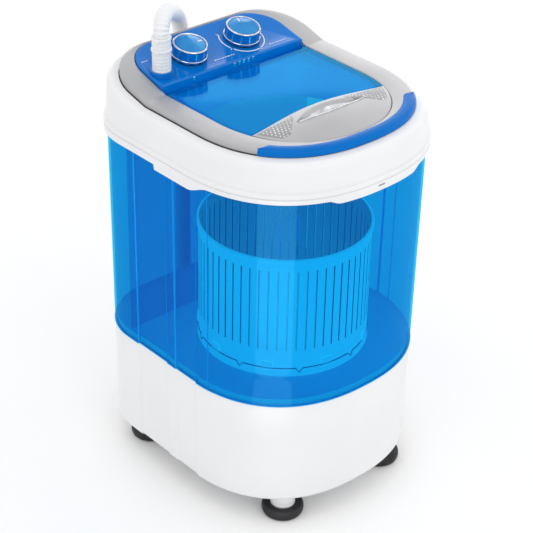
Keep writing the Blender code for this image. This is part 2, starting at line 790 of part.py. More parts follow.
def visor_crown(across, along):
    """Rise of the visor: highest in the middle, level with the window's corners and the front."""
    return VISOR_CROWN * (1 - across**2) * math.sin(math.pi * min(1.0, 0.25 + 0.75 * along))


def make_visor(hinge, back, top):
    columns, rows = 20, 6
    corner = lid_side_x(WINDOW_FRONT_Y, LID_FIT)
    half, depth = LID_HALF_WIDTH - LID_FIT, LID_FRONT - LID_FIT
    start = math.acos((corner / half) ** (LID_POWER / 2))
    upper, lower = [], []
    for i in range(rows + 1):
        along = i / rows
        up, down = [], []
        for j in range(columns + 1):
            across = 2 * j / columns - 1
            turn = math.pi / 2 - (math.pi / 2 - start) * abs(across)
            cosine = max(0.0, math.cos(turn)) ** (2 / LID_POWER)
            arc = (math.copysign(half * cosine, across), -depth * math.sin(turn) ** (2 / LID_POWER))
            rear = (corner * across, window_edge_y(corner * across) - GAP)
            x = rear[0] + (arc[0] - rear[0]) * along
            y = rear[1] + (arc[1] - rear[1]) * along
            if abs(across) == 1.0:
                y = rear[1] - 0.0012 * along
                x = math.copysign(lid_side_x(y, LID_FIT), across)
            up.append((x, y + back, top + visor_crown(across, along)))
            down.append((x, y + back, top - VISOR_THICKNESS))
        upper.append(up)
        lower.append(down)
    visor = place("lid_visor", grid_solid("lid_visor", upper, lower), SILVER, hinge)
    lens = []
    for i in range(25):
        t = i / 12
        if t <= 1:
            lens.append((FINGER_HALF * (2 * t - 1), -0.004 * (1 - (2 * t - 1) ** 2)))
        elif t < 2:
            s = 1 - 2 * (t - 1)
            lens.append((FINGER_HALF * s, 0.013 * (1 - s**2)))
    z = top + VISOR_CROWN
    recess = prism("cut_finger_recess", lens, z - FINGER_DEPTH - 0.0010, z + 0.01)
    cut(visor, recess, parent=hinge, location=(0.0, FINGER_Y + back, 0.0))


# ---------------------------------------------------------------- control panel and knobs
console = empty(
    "console", (0.0, PANEL_FRONT_Y, DECK_Z + PANEL_STEP), (PANEL_TILT, 0.0, 0.0), machine
)
KNOB_ALONG = (KNOB_Y - PANEL_FRONT_Y) / math.cos(PANEL_TILT)
selector_axis = empty("selector_axis", (-KNOB_SPACING / 2, KNOB_ALONG, 0.0), parent=console)
timer_axis = empty("timer_axis", (KNOB_SPACING / 2, KNOB_ALONG, 0.0), parent=console)
PORT_Z = DECK_Z + PANEL_STEP + (PORT_Y - PANEL_FRONT_Y) * math.tan(PANEL_TILT)
PORT_OUTER = CUFF_RADIUS + GAP + PORT_WALL


def make_control_panel():
    """A cover that fills the rear of the trim's opening, with holes for the shafts and the hose."""
    rear = [
        (x, y) for x, y in opening_outline(-LID_FIT) if y > PANEL_FRONT_Y + STEP_RUN
    ]
    half = len(rear) // 2
    side = LID_HALF_WIDTH - LID_FIT
    ring = rear[:half] + [(-side, PANEL_FRONT_Y), (side, PANEL_FRONT_Y)] + rear[half:]

    def top(x, y):
        return DECK_Z + PANEL_STEP + (y - PANEL_FRONT_Y) * math.tan(PANEL_TILT)

    def under(x, y):
        return seat_height(x, y) + PANEL_SEAT_GAP

    middle_y = (PANEL_FRONT_Y + PANEL_REAR) / 2

    def inset(by):
        across, along = 1 - by / side, 1 - 2 * by / (PANEL_REAR - PANEL_FRONT_Y)
        return [(x * across, middle_y + (y - middle_y) * along) for x, y in ring]

    rings = [
        at_height(inset(PANEL_WALL), lambda x, y: top(x, y) - PANEL_WALL),
        at_height(inset(PANEL_WALL), lambda x, y: under(x, y) + PANEL_WALL),
        at_height(ring, under),
        at_height(ring, lambda x, y: top(x, y) - 0.0010),
        at_height(inset(0.0010), top),
    ]
    panel = place("control_panel", loft("control_panel", rings), BLUE)
    for name, axis in (("selector", selector_axis), ("timer", timer_axis)):
        bore = KNOB_SHAFT_RADIUS + SLIDE_CLEARANCE
        cut(panel, cylinder(f"cut_{name}_shaft_hole", bore, -0.02, 0.01, SMALL_ROUND), parent=axis)
    bore = cylinder("cut_panel_port", PORT_OUTER + GAP, -0.03, 0.03, SMALL_ROUND)
    cut(panel, bore, location=(PORT_X, PORT_Y, PORT_Z))


def make_knob(name, axis):
    foot, top = KNOB_LIFT, KNOB_HEIGHT
    step_r = KNOB_RADIUS - BEZEL_WIDTH
    step_z = top - BEZEL_HEIGHT
    bore = KNOB_SHAFT_RADIUS + GAP
    profile = [
        (bore, foot),
        (KNOB_FOOT_RADIUS, foot),
        (KNOB_FOOT_RADIUS, foot + 0.0025),
        (KNOB_RADIUS + 0.0004, step_z - GAP),
        (step_r - GAP, step_z - GAP),
        (step_r - GAP, top - 0.0006),
        (step_r - 0.0020, top - 0.0012),
        (0.0, top - 0.0012),
        (0.0, foot + 0.010),
        (bore, foot + 0.010),
    ]
    place(f"{name}_knob", turned(f"{name}_knob", profile, closed=True), BLUE, axis)
    bezel = turned(
        f"{name}_knob_bezel",
        [
            (step_r, step_z),
            (KNOB_RADIUS + 0.0003, step_z),
            (KNOB_RADIUS, top - 0.0006),
            (KNOB_RADIUS - BEZEL_WIDTH / 2, top),
            (step_r, top - 0.0003),
        ],
        closed=True,
    )
    place(f"{name}_knob_bezel", bezel, CHROME, axis)
    shaft = cylinder(f"{name}_shaft", KNOB_SHAFT_RADIUS, -SWITCH_TOP - 0.010, foot + 0.0097, 12)
    place(f"{name}_shaft", shaft, STEEL, axis)
    bore = KNOB_SHAFT_RADIUS + GAP
    body = [
        (0.0, -SWITCH_TOP - SWITCH_DEPTH),
        (SWITCH_RADIUS, -SWITCH_TOP - SWITCH_DEPTH),
        (SWITCH_RADIUS, -SWITCH_TOP),
        (SWITCH_NECK_RADIUS, -SWITCH_TOP),
        (SWITCH_NECK_RADIUS, -PANEL_WALL - GAP),
        (bore, -PANEL_WALL - GAP),
        (bore, -SWITCH_TOP - 0.0105),
        (0.0, -SWITCH_TOP - 0.0105),
    ]
    place(f"{name}_switch", turned(f"{name}_switch", body, 24), RUBBER, axis)


# ---------------------------------------------------------------- hose
def hose_route():
    """Centre line of the hose: out of the cuff, over the console, and down the back."""
    start_z = PORT_Z + CUFF_HEIGHT + 2 * GAP
    end_z = ELBOW_TOP_Z + 2 * GAP
    way = Vector((HOSE_DOWN_X - PORT_X, HOSE_DOWN_Y - PORT_Y))
    run = way.length
    way.normalize()
    # Distance from the cuff towards the hose's place behind the machine, and height.
    arch = [
        (0.0, start_z),
        (0.0, start_z + 0.005),
        (0.0025, start_z + 0.0115),
        (0.0085, start_z + 0.0165),
        (0.0180, start_z + 0.0185),
        (0.0330, start_z + 0.0175),
        (0.0520, start_z + 0.0120),
        (0.0740, start_z + 0.0030),
        (0.0960, start_z - 0.0080),
        (0.1160, start_z - 0.0210),
        (0.1340, start_z - 0.0380),
        (run - 0.0065, start_z - 0.0550),
        (run - 0.0015, start_z - 0.0780),
        (run, start_z - 0.1050),
    ]
    points = [(PORT_X + way.x * s, PORT_Y + way.y * s, z) for s, z in arch]
    low = arch[-1][1]
    for i in range(1, 7):
        points.append((HOSE_DOWN_X, HOSE_DOWN_Y, low + (end_z - low) * i / 6))
    return points


def smooth_through(points, step):
    """Points of a Catmull-Rom curve through the given points, about one step apart."""
    knots = [Vector(p) for p in points]
    ends = [2 * knots[0] - knots[1], *knots, 2 * knots[-1] - knots[-2]]
    fine = []
    for a, b, c, d in zip(ends, ends[1:], ends[2:], ends[3:]):
        pieces = max(1, round((c - b).length / step))
        for i in range(pieces):
            t = i / pieces
            fine.append(
                0.5 * (2 * b + (c - a) * t + (2 * a - 5 * b + 4 * c - d) * t**2
                       + (3 * b - 3 * c + d - a) * t**3)
            )
    fine.append(knots[-1])
    return fine


def make_hose():
    points = smooth_through(hose_route(), HOSE_DIAMETER * 0.55)
    curve = bpy.data.curves.new("drain_hose", "CURVE")
    curve.dimensions = "3D"
    curve.bevel_depth = HOSE_DIAMETER / 2
    curve.bevel_resolution = 2
    curve.use_fill_caps = True
    spline = curve.splines.new("POLY")
    spline.points.add(len(points) - 1)
    for target, point in zip(spline.points, points):
        target.co = (*point, 1.0)
    place("drain_hose", curve, HOSE_WHITE)


def make_cuff_and_port():
    sink = 0.012
    bore = CUFF_RADIUS - HOSE_WALL
    profile = [
        (bore, -sink),
        (CUFF_RADIUS, -sink),
        (CUFF_RADIUS, CUFF_HEIGHT * 0.60),
        (CUFF_RADIUS + 0.0012, CUFF_HEIGHT * 0.62),
        (CUFF_RADIUS + 0.0012, CUFF_HEIGHT * 0.66),
        (CUFF_RADIUS - 0.0006, CUFF_HEIGHT * 0.68),
        (CUFF_RADIUS - 0.0006, CUFF_HEIGHT * 0.95),
        (CUFF_RADIUS + 0.0006, CUFF_HEIGHT * 0.96),
        (CUFF_RADIUS + 0.0006, CUFF_HEIGHT),
        (bore, CUFF_HEIGHT),
    ]
    where = (PORT_X, PORT_Y, PORT_Z)
    place("hose_cuff", turned("hose_cuff", profile, 24, closed=True), HOSE_WHITE, location=where)
    low = -0.026
    socket = [
        (CUFF_RADIUS + GAP, PORT_LIP),
        (CUFF_RADIUS + GAP, -sink - GAP),
        (bore, -sink - 2 * GAP),
        (bore, low),
        (PORT_OUTER, low),
        (PORT_OUTER, PORT_LIP),
    ]
    place("hose_port", turned("hose_port", socket, 24, closed=True), BLUE, location=where)


PORT_LIP = PORT_OUTER * math.tan(PANEL_TILT) + 0.0006


def make_elbow():
    """A pipe through the back of the base that turns up to take the hose."""
    turn = 0.018
    inside_y = REAR_DEPTH - 0.030
    centre = (HOSE_DOWN_X, HOSE_DOWN_Y - turn, ELBOW_Z + turn)
    path = [(HOSE_DOWN_X, inside_y, ELBOW_Z)]
    path += arc_path(centre, turn, -math.pi / 2, 0.0, "yz")
    path.append((HOSE_DOWN_X, HOSE_DOWN_Y, ELBOW_TOP_Z))
    place("drain_elbow", pipe("drain_elbow", path, ELBOW_RADIUS, ELBOW_RADIUS - ELBOW_WALL), WHITE)


def make_drain_pipe():
    """From the drain hole in the tub floor to the elbow, under the floor."""
    x, y = DRAIN_PLACE
    top = SEAM_Z - GAP
    end_y = REAR_DEPTH - 0.030 - GAP
    knots = [
        (x, y, top),
        (x, y, top - 0.030),
        (x - 0.002, y + 0.004, top - 0.060),
        (x - 0.018, y + 0.022, ELBOW_Z + 0.022),
        (HOSE_DOWN_X + 0.012, end_y - 0.044, ELBOW_Z + 0.004),
        (HOSE_DOWN_X, end_y - 0.018, ELBOW_Z),
        (HOSE_DOWN_X, end_y, ELBOW_Z),
    ]
    path = smooth_through(knots, 0.016)
    mesh = pipe("drain_pipe", path, DRAIN_RADIUS, DRAIN_RADIUS - 0.0020, 12)
    place("drain_pipe", mesh, RUBBER)


def make_hose_clip():
    """A springy C around the hose, on a foot that is stuck to the back of the tub."""
    bore = HOSE_DIAMETER / 2 + GAP
    outer = bore + CLIP_WALL
    mouth = math.radians(38.0)
    steps = 20
    turns = [math.pi / 2 + mouth + (2 * math.pi - 2 * mouth) * i / steps for i in range(steps + 1)]
    points = [(outer * math.cos(t), outer * math.sin(t)) for t in turns]
    points += [(bore * math.cos(t), bore * math.sin(t)) for t in reversed(turns)]
    back = REAR_DEPTH + DRAFT * (CLIP_Z + CLIP_HEIGHT - SEAM_Z) + GAP - HOSE_DOWN_Y
    clip = place("hose_clip", prism("hose_clip", points, 0.0, CLIP_HEIGHT), WHITE,
                 location=(HOSE_DOWN_X, HOSE_DOWN_Y, CLIP_Z))
    foot = box("join_clip_foot", (-0.014, back, 0.002), (0.014, -bore - CLIP_WALL / 2, CLIP_HEIGHT - 0.002))
    join(clip, foot, location=(HOSE_DOWN_X, HOSE_DOWN_Y, CLIP_Z))


def make_gland():
    """The power lead's gland: a stepped bush through the back of the base."""
    profile = [
        (0.0030, -0.010),
        (GLAND_RADIUS, -0.010),
        (GLAND_RADIUS, BASE_WALL + 2 * GAP),
        (GLAND_RADIUS + 0.0025, BASE_WALL + 2 * GAP),
        (GLAND_RADIUS + 0.0025, BASE_WALL + 0.0025),
        (0.0055, BASE_WALL + 0.0110),
        (0.0030, BASE_WALL + 0.0110),
    ]
    where = (GLAND_X, REAR_DEPTH - BASE_WALL, GLAND_Z)
    mesh = turned("cable_gland", profile, SMALL_ROUND, closed=True)
    place("cable_gland", mesh, RUBBER, location=where, rotation=(-math.pi / 2, 0.0, 0.0))


# ---------------------------------------------------------------- basket and drive line
def make_basket(parent):
    """A slotted basket with a raised floor that sits over the pulsator, keyed on the hub."""
    inner = BASKET_RADIUS - BASKET_WALL
    rim = BASKET_RADIUS + BASKET_RIM
    floor_low = BASKET_FLOOR_Z - BASKET_WALL
    hub = HUB_RADIUS + GAP
    profile = [
        (0.0, HUB_TOP_Z + GAP + BASKET_WALL),
        (hub + BASKET_WALL, HUB_TOP_Z + GAP + BASKET_WALL),
        (hub + BASKET_WALL + 0.004, BASKET_FLOOR_Z),
        (inner - 0.004, BASKET_FLOOR_Z),
        (inner, BASKET_FLOOR_Z + 0.004),
        (inner, SLOT_LOW_Z),
        (inner, SLOT_HIGH_Z),
        (inner, BASKET_TOP_Z),
        (rim, BASKET_TOP_Z),
        (rim, BASKET_TOP_Z - 0.006),
        (BASKET_RADIUS, BASKET_TOP_Z - 0.008),
        (BASKET_RADIUS, SLOT_HIGH_Z),
        (BASKET_RADIUS, SLOT_LOW_Z),
        (BASKET_RADIUS, BASKET_BOTTOM_Z),
        (inner, BASKET_BOTTOM_Z),
        (inner, floor_low),
        (hub + 0.004, floor_low),
        (hub, HUB_TOP_Z + GAP),
        (0.0, HUB_TOP_Z + GAP),
    ]
    inside, outside = 5, 11  # the profile's edges that the slots go through
    pitch = 2 * math.pi / SLOT_COUNT
    turns = []
    for i in range(SLOT_COUNT):
        turns += [pitch * i, pitch * (i + SLOT_SHARE)]
    work = bmesh.new()
    rows = []
    for radius, z in profile:
        if radius == 0.0:
            rows.append([work.verts.new((0.0, 0.0, z))])
        else:
            rows.append([work.verts.new((radius * math.cos(t), radius * math.sin(t), z)) for t in turns])
    count = len(turns)
    for k, (low, high) in enumerate(zip(rows, rows[1:])):
        for i in range(count):
            if k in (inside, outside) and i % 2 == 0:
                continue
            j = (i + 1) % count
            corners = [low[i % len(low)], low[j % len(low)], high[j % len(high)], high[i % len(high)]]
            work.faces.new(list(dict.fromkeys(corners)))
    for i in range(0, count, 2):
        j = (i + 1) % count
        near = [rows[inside][i], rows[inside][j], rows[inside + 1][j], rows[inside + 1][i]]
        far = [rows[outside + 1][i], rows[outside + 1][j], rows[outside][j], rows[outside][i]]
        for m in range(4):
            n = (m + 1) % 4
            work.faces.new((near[m], near[n], far[n], far[m]))
    place("spin_basket", finish_mesh("spin_basket", work), BASKET_WHITE, parent)


def make_drive(drive):
    shaft = [
        (0.0, SHAFT_LOW_Z),
        (SHAFT_RADIUS, SHAFT_LOW_Z),
        (SHAFT_RADIUS, PULSATOR_Z + 0.024),
        (0.0, PULSATOR_Z + 0.024),
    ]
    place("drive_shaft", turned("drive_shaft", shaft, 24), STEEL, drive)
    bore = SHAFT_RADIUS + GAP
    hub_low = PULSATOR_Z + 0.0125
    hub = [
        (bore, hub_low),
        (HUB_RADIUS, hub_low),
        (HUB_RADIUS, HUB_TOP_Z - 0.004),
        (HUB_RADIUS - 0.004, HUB_TOP_Z),
        (0.0, HUB_TOP_Z),
        (0.0, PULSATOR_Z + 0.024 + GAP),
        (bore, PULSATOR_Z + 0.024 + GAP),
    ]
    place("drive_hub", turned("drive_hub", hub, 24, closed=True), STEEL, drive)
    disc = [
        (bore, PULSATOR_Z),
        (0.030, PULSATOR_Z),
        (PULSATOR_RADIUS, PULSATOR_Z + 0.002),
        (PULSATOR_RADIUS, PULSATOR_Z + 0.006),
        (0.030, PULSATOR_Z + 0.0120),
        (bore, PULSATOR_Z + 0.0120),
    ]
    pulsator = place("pulsator", turned("pulsator", disc, closed=True), BASKET_WHITE, drive)
    for i in range(PULSATOR_FINS):
        low, high = PULSATOR_Z + 0.004, PULSATOR_Z + 0.0185
        fin = box(f"join_fin_{i}", (0.022, -0.0035, low), (PULSATOR_RADIUS - 0.006, 0.0035, high))
        join(pulsator, fin, parent=drive, rotation=(0.0, 0.0, 2 * math.pi * i / PULSATOR_FINS))
    make_pulley("drum_pulley", DRUM_PULLEY_RADIUS, SHAFT_RADIUS, drive)
    low, high = PULLEY_Z - PULLEY_HEIGHT / 2 - 0.0065, PULLEY_Z - PULLEY_HEIGHT / 2 - GAP
    turns = [math.pi / 3 * i for i in range(6)]
    hexagon = [(0.0105 * math.cos(t), 0.0105 * math.sin(t)) for t in turns]
    nut = place("pulley_nut", prism("pulley_nut", hexagon, low, high), STEEL, drive)
    cut(nut, cylinder("cut_nut_bore", bore, low - 0.005, high + 0.005, 24), parent=drive)


def make_pulley(name, groove_radius, shaft_radius, parent):
    low, high = PULLEY_Z - PULLEY_HEIGHT / 2, PULLEY_Z + PULLEY_HEIGHT / 2
    cheek = groove_radius + BELT_THICKNESS
    profile = [
        (shaft_radius + GAP, low),
        (cheek, low),
        (cheek, low + 0.0020),
        (groove_radius, PULLEY_Z - BELT_HEIGHT / 2 - GAP),
        (groove_radius, PULLEY_Z + BELT_HEIGHT / 2 + GAP),
        (cheek, high - 0.0020),
        (cheek, high),
        (shaft_radius + GAP, high),
    ]
    place(name, turned(name, profile, ROUND if groove_radius > 0.02 else 20, closed=True), STEEL, parent)


def make_bearings():
    bore = SHAFT_RADIUS + GAP
    top = SEAM_Z - GAP
    seat = BEARING_RADIUS + GAP
    tube = seat + BEARING_HOUSING_WALL
    lower_top = BEARING_LOW_Z + 0.003 + BEARING_HEIGHT
    upper_low = top - 0.006 - BEARING_HEIGHT
    profile = [
        (SHAFT_RADIUS + 0.003, BEARING_LOW_Z),
        (tube, BEARING_LOW_Z),
        (tube, top - 0.006),
        (BEARING_FLANGE, top - 0.004),
        (BEARING_FLANGE, top),
        (seat, top),
        (seat, upper_low - GAP),
        (SHAFT_RADIUS + 0.003, upper_low - 2 * GAP),
        (SHAFT_RADIUS + 0.003, lower_top + 2 * GAP),
        (seat, lower_top + GAP),
        (seat, BEARING_LOW_Z + 0.003 - GAP),
        (SHAFT_RADIUS + 0.003, BEARING_LOW_Z + 0.003 - 2 * GAP),
    ]
    place("bearing_housing", turned("bearing_housing", profile, closed=True), STEEL)
    for name, low in (("lower_bearing", BEARING_LOW_Z + 0.003), ("upper_bearing", upper_low)):
        mesh = ring_mesh(name, bore, BEARING_RADIUS, low, low + BEARING_HEIGHT, 24)
        place(name, mesh, STEEL)
    seal_low = upper_low + BEARING_HEIGHT + GAP
    seal = [
        (bore, seal_low),
        (BEARING_RADIUS - GAP, seal_low),
        (BEARING_RADIUS - GAP, FLOOR_TOP_Z),
        (SHAFT_RADIUS + 0.002, FLOOR_TOP_Z + 0.002),
        (bore, FLOOR_TOP_Z + 0.002),
    ]
    place("shaft_seal", turned("shaft_seal", seal, 24, closed=True), RUBBER)


def make_motor():
    low, high = MOTOR_LOW_Z, MOTOR_LOW_Z + MOTOR_HEIGHT
    inner = MOTOR_RADIUS - MOTOR_WALL
    hole = MOTOR_SHAFT_RADIUS + SLIDE_CLEARANCE
    where = (MOTOR_X, MOTOR_Y, 0.0)
    can = [
        (hole, low),
        (MOTOR_RADIUS, low),
        (MOTOR_RADIUS, high),
        (hole, high),
        (hole, high - MOTOR_WALL),
        (inner, high - MOTOR_WALL),
        (inner, low + MOTOR_WALL),
        (hole, low + MOTOR_WALL),
    ]
    place("motor_can", turned("motor_can", can, closed=True), STEEL, location=where)
    stator = ring_mesh("motor_stator", ROTOR_RADIUS + SLIDE_CLEARANCE, inner - GAP, low + 0.014, high - 0.014)
    place("motor_stator", stator, COPPER, location=where)
    rotor_axis = empty("rotor_axis", where, parent=machine)
    shaft_low = PULLEY_Z - PULLEY_HEIGHT / 2 - 0.002
    rotor = [
        (0.0, shaft_low),
        (MOTOR_SHAFT_RADIUS, shaft_low),
        (MOTOR_SHAFT_RADIUS, low + 0.012),
        (ROTOR_RADIUS, low + 0.012),
        (ROTOR_RADIUS, high - 0.012),
        (MOTOR_SHAFT_RADIUS, high - 0.012),
        (MOTOR_SHAFT_RADIUS, high + 0.004),
        (0.0, high + 0.004),
    ]
    place("motor_rotor", turned("motor_rotor", rotor, 24), STEEL, rotor_axis)
    make_pulley("motor_pulley", MOTOR_PULLEY_RADIUS, MOTOR_SHAFT_RADIUS, rotor_axis)
    make_motor_bracket(where)
    place_mounts()
    mesh = cylinder("motor_capacitor", CAPACITOR_RADIUS, PLATE_TOP + GAP, PLATE_TOP + CAPACITOR_HEIGHT, 24)
    place("motor_capacitor", mesh, WHITE, location=(*CAPACITOR_PLACE, 0.0))


def post_places():
    """The bracket's three posts, spread around the side of the motor that the belt doesn't reach."""
    away = math.atan2(MOTOR_Y, MOTOR_X)
    turns = [away + math.radians(a) for a in (-75.0, 0.0, 75.0)]
    return [(MOTOR_X + POST_REACH * math.cos(t), MOTOR_Y + POST_REACH * math.sin(t)) for t in turns]


def make_motor_bracket(where):
    top = MOTOR_LOW_Z - GAP
    low = top - 0.003
    outer = POST_REACH + POST_RADIUS + 0.002
    plate = ring_mesh("motor_bracket", MOTOR_SHAFT_RADIUS + 0.006, outer, low, top)
    bracket = place("motor_bracket", plate, STEEL, location=where)
    foot = PLATE_TOP + GAP + MOUNT_HEIGHT + GAP
    for number, (x, y) in enumerate(post_places(), 1):
        post = cylinder(f"join_post_{number}", POST_RADIUS, foot, low + 0.0015, 14)
        join(bracket, post, location=(x, y, 0.0))


def place_mounts():
    low = PLATE_TOP + GAP
    for number, (x, y) in enumerate(post_places(), 1):
        mesh = cylinder(f"motor_mount_{number}", MOUNT_RADIUS, low, low + MOUNT_HEIGHT, 16)
        place(f"motor_mount_{number}", mesh, RUBBER, location=(x, y, 0.0))


def make_belt():
    """A belt around the two pulleys: two arcs joined by their outer tangents."""
    reach = math.hypot(MOTOR_X, MOTOR_Y)
    lean = math.asin((DRUM_PULLEY_RADIUS - MOTOR_PULLEY_RADIUS) / reach)
    towards = math.atan2(MOTOR_Y, MOTOR_X)

    def loop(extra):
        points = []
        steps = 22
        big, small = DRUM_PULLEY_RADIUS + extra, MOTOR_PULLEY_RADIUS + extra
        open_angle = math.pi / 2 - lean
        for i in range(steps + 1):
            turn = towards + open_angle + (2 * math.pi - 2 * open_angle) * i / steps
            points.append((big * math.cos(turn), big * math.sin(turn)))
        for i in range(11):
            turn = towards - open_angle + 2 * open_angle * i / 10
            points.append((MOTOR_X + small * math.cos(turn), MOTOR_Y + small * math.sin(turn)))
        return points

    low, high = PULLEY_Z - BELT_HEIGHT / 2, PULLEY_Z + BELT_HEIGHT / 2
    inner, outer = loop(GAP), loop(GAP + BELT_THICKNESS)
    narrow = (high - low) * 0.15
    rings = [
        at_height(inner, low + narrow),
        at_height(outer, low),
        at_height(outer, high),
        at_height(inner, high - narrow),
    ]
    place("drive_belt", loft("drive_belt", rings, closed=True), RUBBER)


# ---------------------------------------------------------------- the machine
make_base_shell()
make_base_plate()
for foot_number, (foot_x, foot_y) in enumerate(FEET, 1):
    make_foot(foot_number, foot_x, foot_y)
for screw_number, (screw_x, screw_y) in enumerate(SCREWS, 1):
    make_base_screw(screw_number, screw_x, screw_y)
make_tub_housing()
make_tub_partition()
make_top_ring()
make_trim_frame()
make_crescent()
make_lid()
make_control_panel()
make_knob("selector", selector_axis)
make_knob("timer", timer_axis)
make_cuff_and_port()
make_hose()
make_elbow()
make_drain_pipe()
make_hose_clip()
make_gland()
drive_axis = empty("drive_axis", (0.0, 0.0, 0.0), parent=machine)
make_basket(drive_axis)
make_drive(drive_axis)
make_bearings()
make_motor()
make_belt()
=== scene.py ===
"""Looks for the portable top load washing machine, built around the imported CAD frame.

Lengths are metres. Shapes are drawn around the tub's axis with the front at -Y, and put() moves
them to the place that the CAD model gives that axis.
"""

import math

import bmesh
import bpy
from mathutils import Matrix, Vector


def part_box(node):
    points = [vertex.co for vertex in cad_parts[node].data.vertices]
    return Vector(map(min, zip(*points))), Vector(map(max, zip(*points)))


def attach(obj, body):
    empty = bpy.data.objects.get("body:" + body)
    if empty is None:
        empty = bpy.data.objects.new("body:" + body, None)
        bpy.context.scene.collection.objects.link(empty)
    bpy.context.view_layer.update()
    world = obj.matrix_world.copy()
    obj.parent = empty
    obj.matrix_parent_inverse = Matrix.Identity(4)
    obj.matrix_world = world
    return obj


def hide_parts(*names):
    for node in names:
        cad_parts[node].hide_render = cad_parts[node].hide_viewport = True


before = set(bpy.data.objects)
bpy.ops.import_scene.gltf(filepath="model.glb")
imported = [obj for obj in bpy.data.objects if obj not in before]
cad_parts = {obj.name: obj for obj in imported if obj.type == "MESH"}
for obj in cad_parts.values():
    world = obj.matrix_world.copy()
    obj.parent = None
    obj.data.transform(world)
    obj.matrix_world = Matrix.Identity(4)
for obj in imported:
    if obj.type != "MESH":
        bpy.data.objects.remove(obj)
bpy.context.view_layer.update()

# ---------------------------------------------------------------- places read from the frame
shaft_low, shaft_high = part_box("drive_shaft")
AXIS_Y = (shaft_low.y + shaft_high.y) / 2
LEG_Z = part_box("base_shell")[0].z
SEAM_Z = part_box("tub_housing")[0].z
DECK_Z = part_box("lid_window")[1].z
RIM_DROP, RING_HEIGHT = 0.007, 0.053
RIM_Z = DECK_Z - RIM_DROP
RING_Z = RIM_Z - RING_HEIGHT
TUB_HEIGHT = RING_Z - SEAM_Z
TUB_TOP = RING_Z + RING_HEIGHT * 0.45  # inside the ring
BASKET_LOW, BASKET_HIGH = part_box("spin_basket")

# ---------------------------------------------------------------- the form
# As in the CAD model, but RING_STAND includes the tub's draft, and the drawn throat is deeper than
# the CAD model's, whose THROAT_DEPTH is 0.010.
HALF_WIDTH, FRONT_DEPTH, REAR_DEPTH, REAR_CORNER = 0.170, 0.165, 0.212, 0.083
FRONT_POWER = 2.35
DRAFT = 0.0067
COLUMN_FRONT_Y, RIB_REAR_Y, RIB_FRONT_Y, BARREL_REAR_Y = 0.105, 0.043, 0.025, -0.018
RECESS_DEPTH, RIB_RISE = 0.0022, 0.0014
RING_STAND = 0.0034 + DRAFT * TUB_HEIGHT
RING_BEAD = 0.0012
RIM_INSET = 0.0155
RISE_START_Y = 0.098
RING_RISE = math.tan(math.radians(13.0))
TRIM_RISE = math.tan(math.radians(16.0))
LID_HALF_WIDTH, LID_FRONT, LID_POWER = 0.1210, 0.1310, 2.25
PANEL_REAR, PANEL_CORNER = 0.1930, 0.046
SEAT_DEPTH = 0.014
THROAT_RADIUS, THROAT_DEPTH = 0.1195, 0.044
LID_FIT = 0.0006
HINGE_Y = 0.099
HINGE_DROP = 0.0055
LID_REAR_Y = 0.1030
WINDOW_FRONT_Y, WINDOW_BOW, WINDOW_THICKNESS = -0.057, 0.011, 0.0032
VISOR_THICKNESS, VISOR_CROWN = 0.0075, 0.0060
FINGER_Y = -0.072
SLOT_X, SLOT_HALF = 0.0070, 0.0590
PANEL_TILT = math.radians(12.9)
PANEL_FRONT_Y, PANEL_STEP, PANEL_WALL = 0.1070, 0.0075, 0.0040
KNOB_SPACING, KNOB_Y, KNOB_RADIUS, KNOB_FOOT_RADIUS, KNOB_HEIGHT = 0.091, 0.146, 0.0229, 0.0247, 0.0195
PORT_X, PORT_Y, CUFF_RADIUS, CUFF_HEIGHT = -0.101, 0.132, 0.0124, 0.050
HOSE_DIAMETER = 0.0215
HOSE_DOWN_X, HOSE_DOWN_Y = 0.012, 0.2315
ELBOW_Z, ELBOW_RADIUS, ELBOW_TOP_Z = 0.088, 0.0107, 0.128
BASKET_RADIUS = 0.1160
FIRST_TAB, FIRST_NOTCH = -142.0, -161.0  # degrees round the basket
FEET = [(-0.092, -0.110), (0.092, -0.110), (-0.120, 0.145), (0.120, 0.145)]
PORT_Z = DECK_Z + PANEL_STEP + (PORT_Y - PANEL_FRONT_Y) * math.tan(PANEL_TILT)


# ---------------------------------------------------------------- materials
def nodes_of(name):
    made = bpy.data.materials.new(name)
    made.use_nodes = True
    tree = made.node_tree
    return made, tree, tree.nodes["Principled BSDF"]


def noise_node(tree, scale, detail):
    where = tree.nodes.new("ShaderNodeTexCoord")
    made = tree.nodes.new("ShaderNodeTexNoise")
    made.inputs["Scale"].default_value = scale
    made.inputs["Detail"].default_value = detail
    tree.links.new(where.outputs["Object"], made.inputs["Vector"])
    return made


def ramp(tree, source, low, high):
    made = tree.nodes.new("ShaderNodeMapRange")
    made.inputs["From Min"].default_value = 0.3
    made.inputs["From Max"].default_value = 0.7
    made.inputs["To Min"].default_value = low
    made.inputs["To Max"].default_value = high
    tree.links.new(source.outputs["Fac"], made.inputs["Value"])
    return made.outputs["Result"]


def blend_colours(tree, source, first, second):
    made = tree.nodes.new("ShaderNodeMix")
    made.data_type = "RGBA"
    made.inputs["A"].default_value = (*first, 1.0)
    made.inputs["B"].default_value = (*second, 1.0)
    tree.links.new(ramp(tree, source, 0.0, 1.0), made.inputs["Factor"])
    return made.outputs["Result"]


def bump(tree, source, strength, distance):
    made = tree.nodes.new("ShaderNodeBump")
    made.inputs["Strength"].default_value = strength
    made.inputs["Distance"].default_value = distance
    tree.links.new(source.outputs["Fac"], made.inputs["Height"])
    return made.outputs["Normal"]


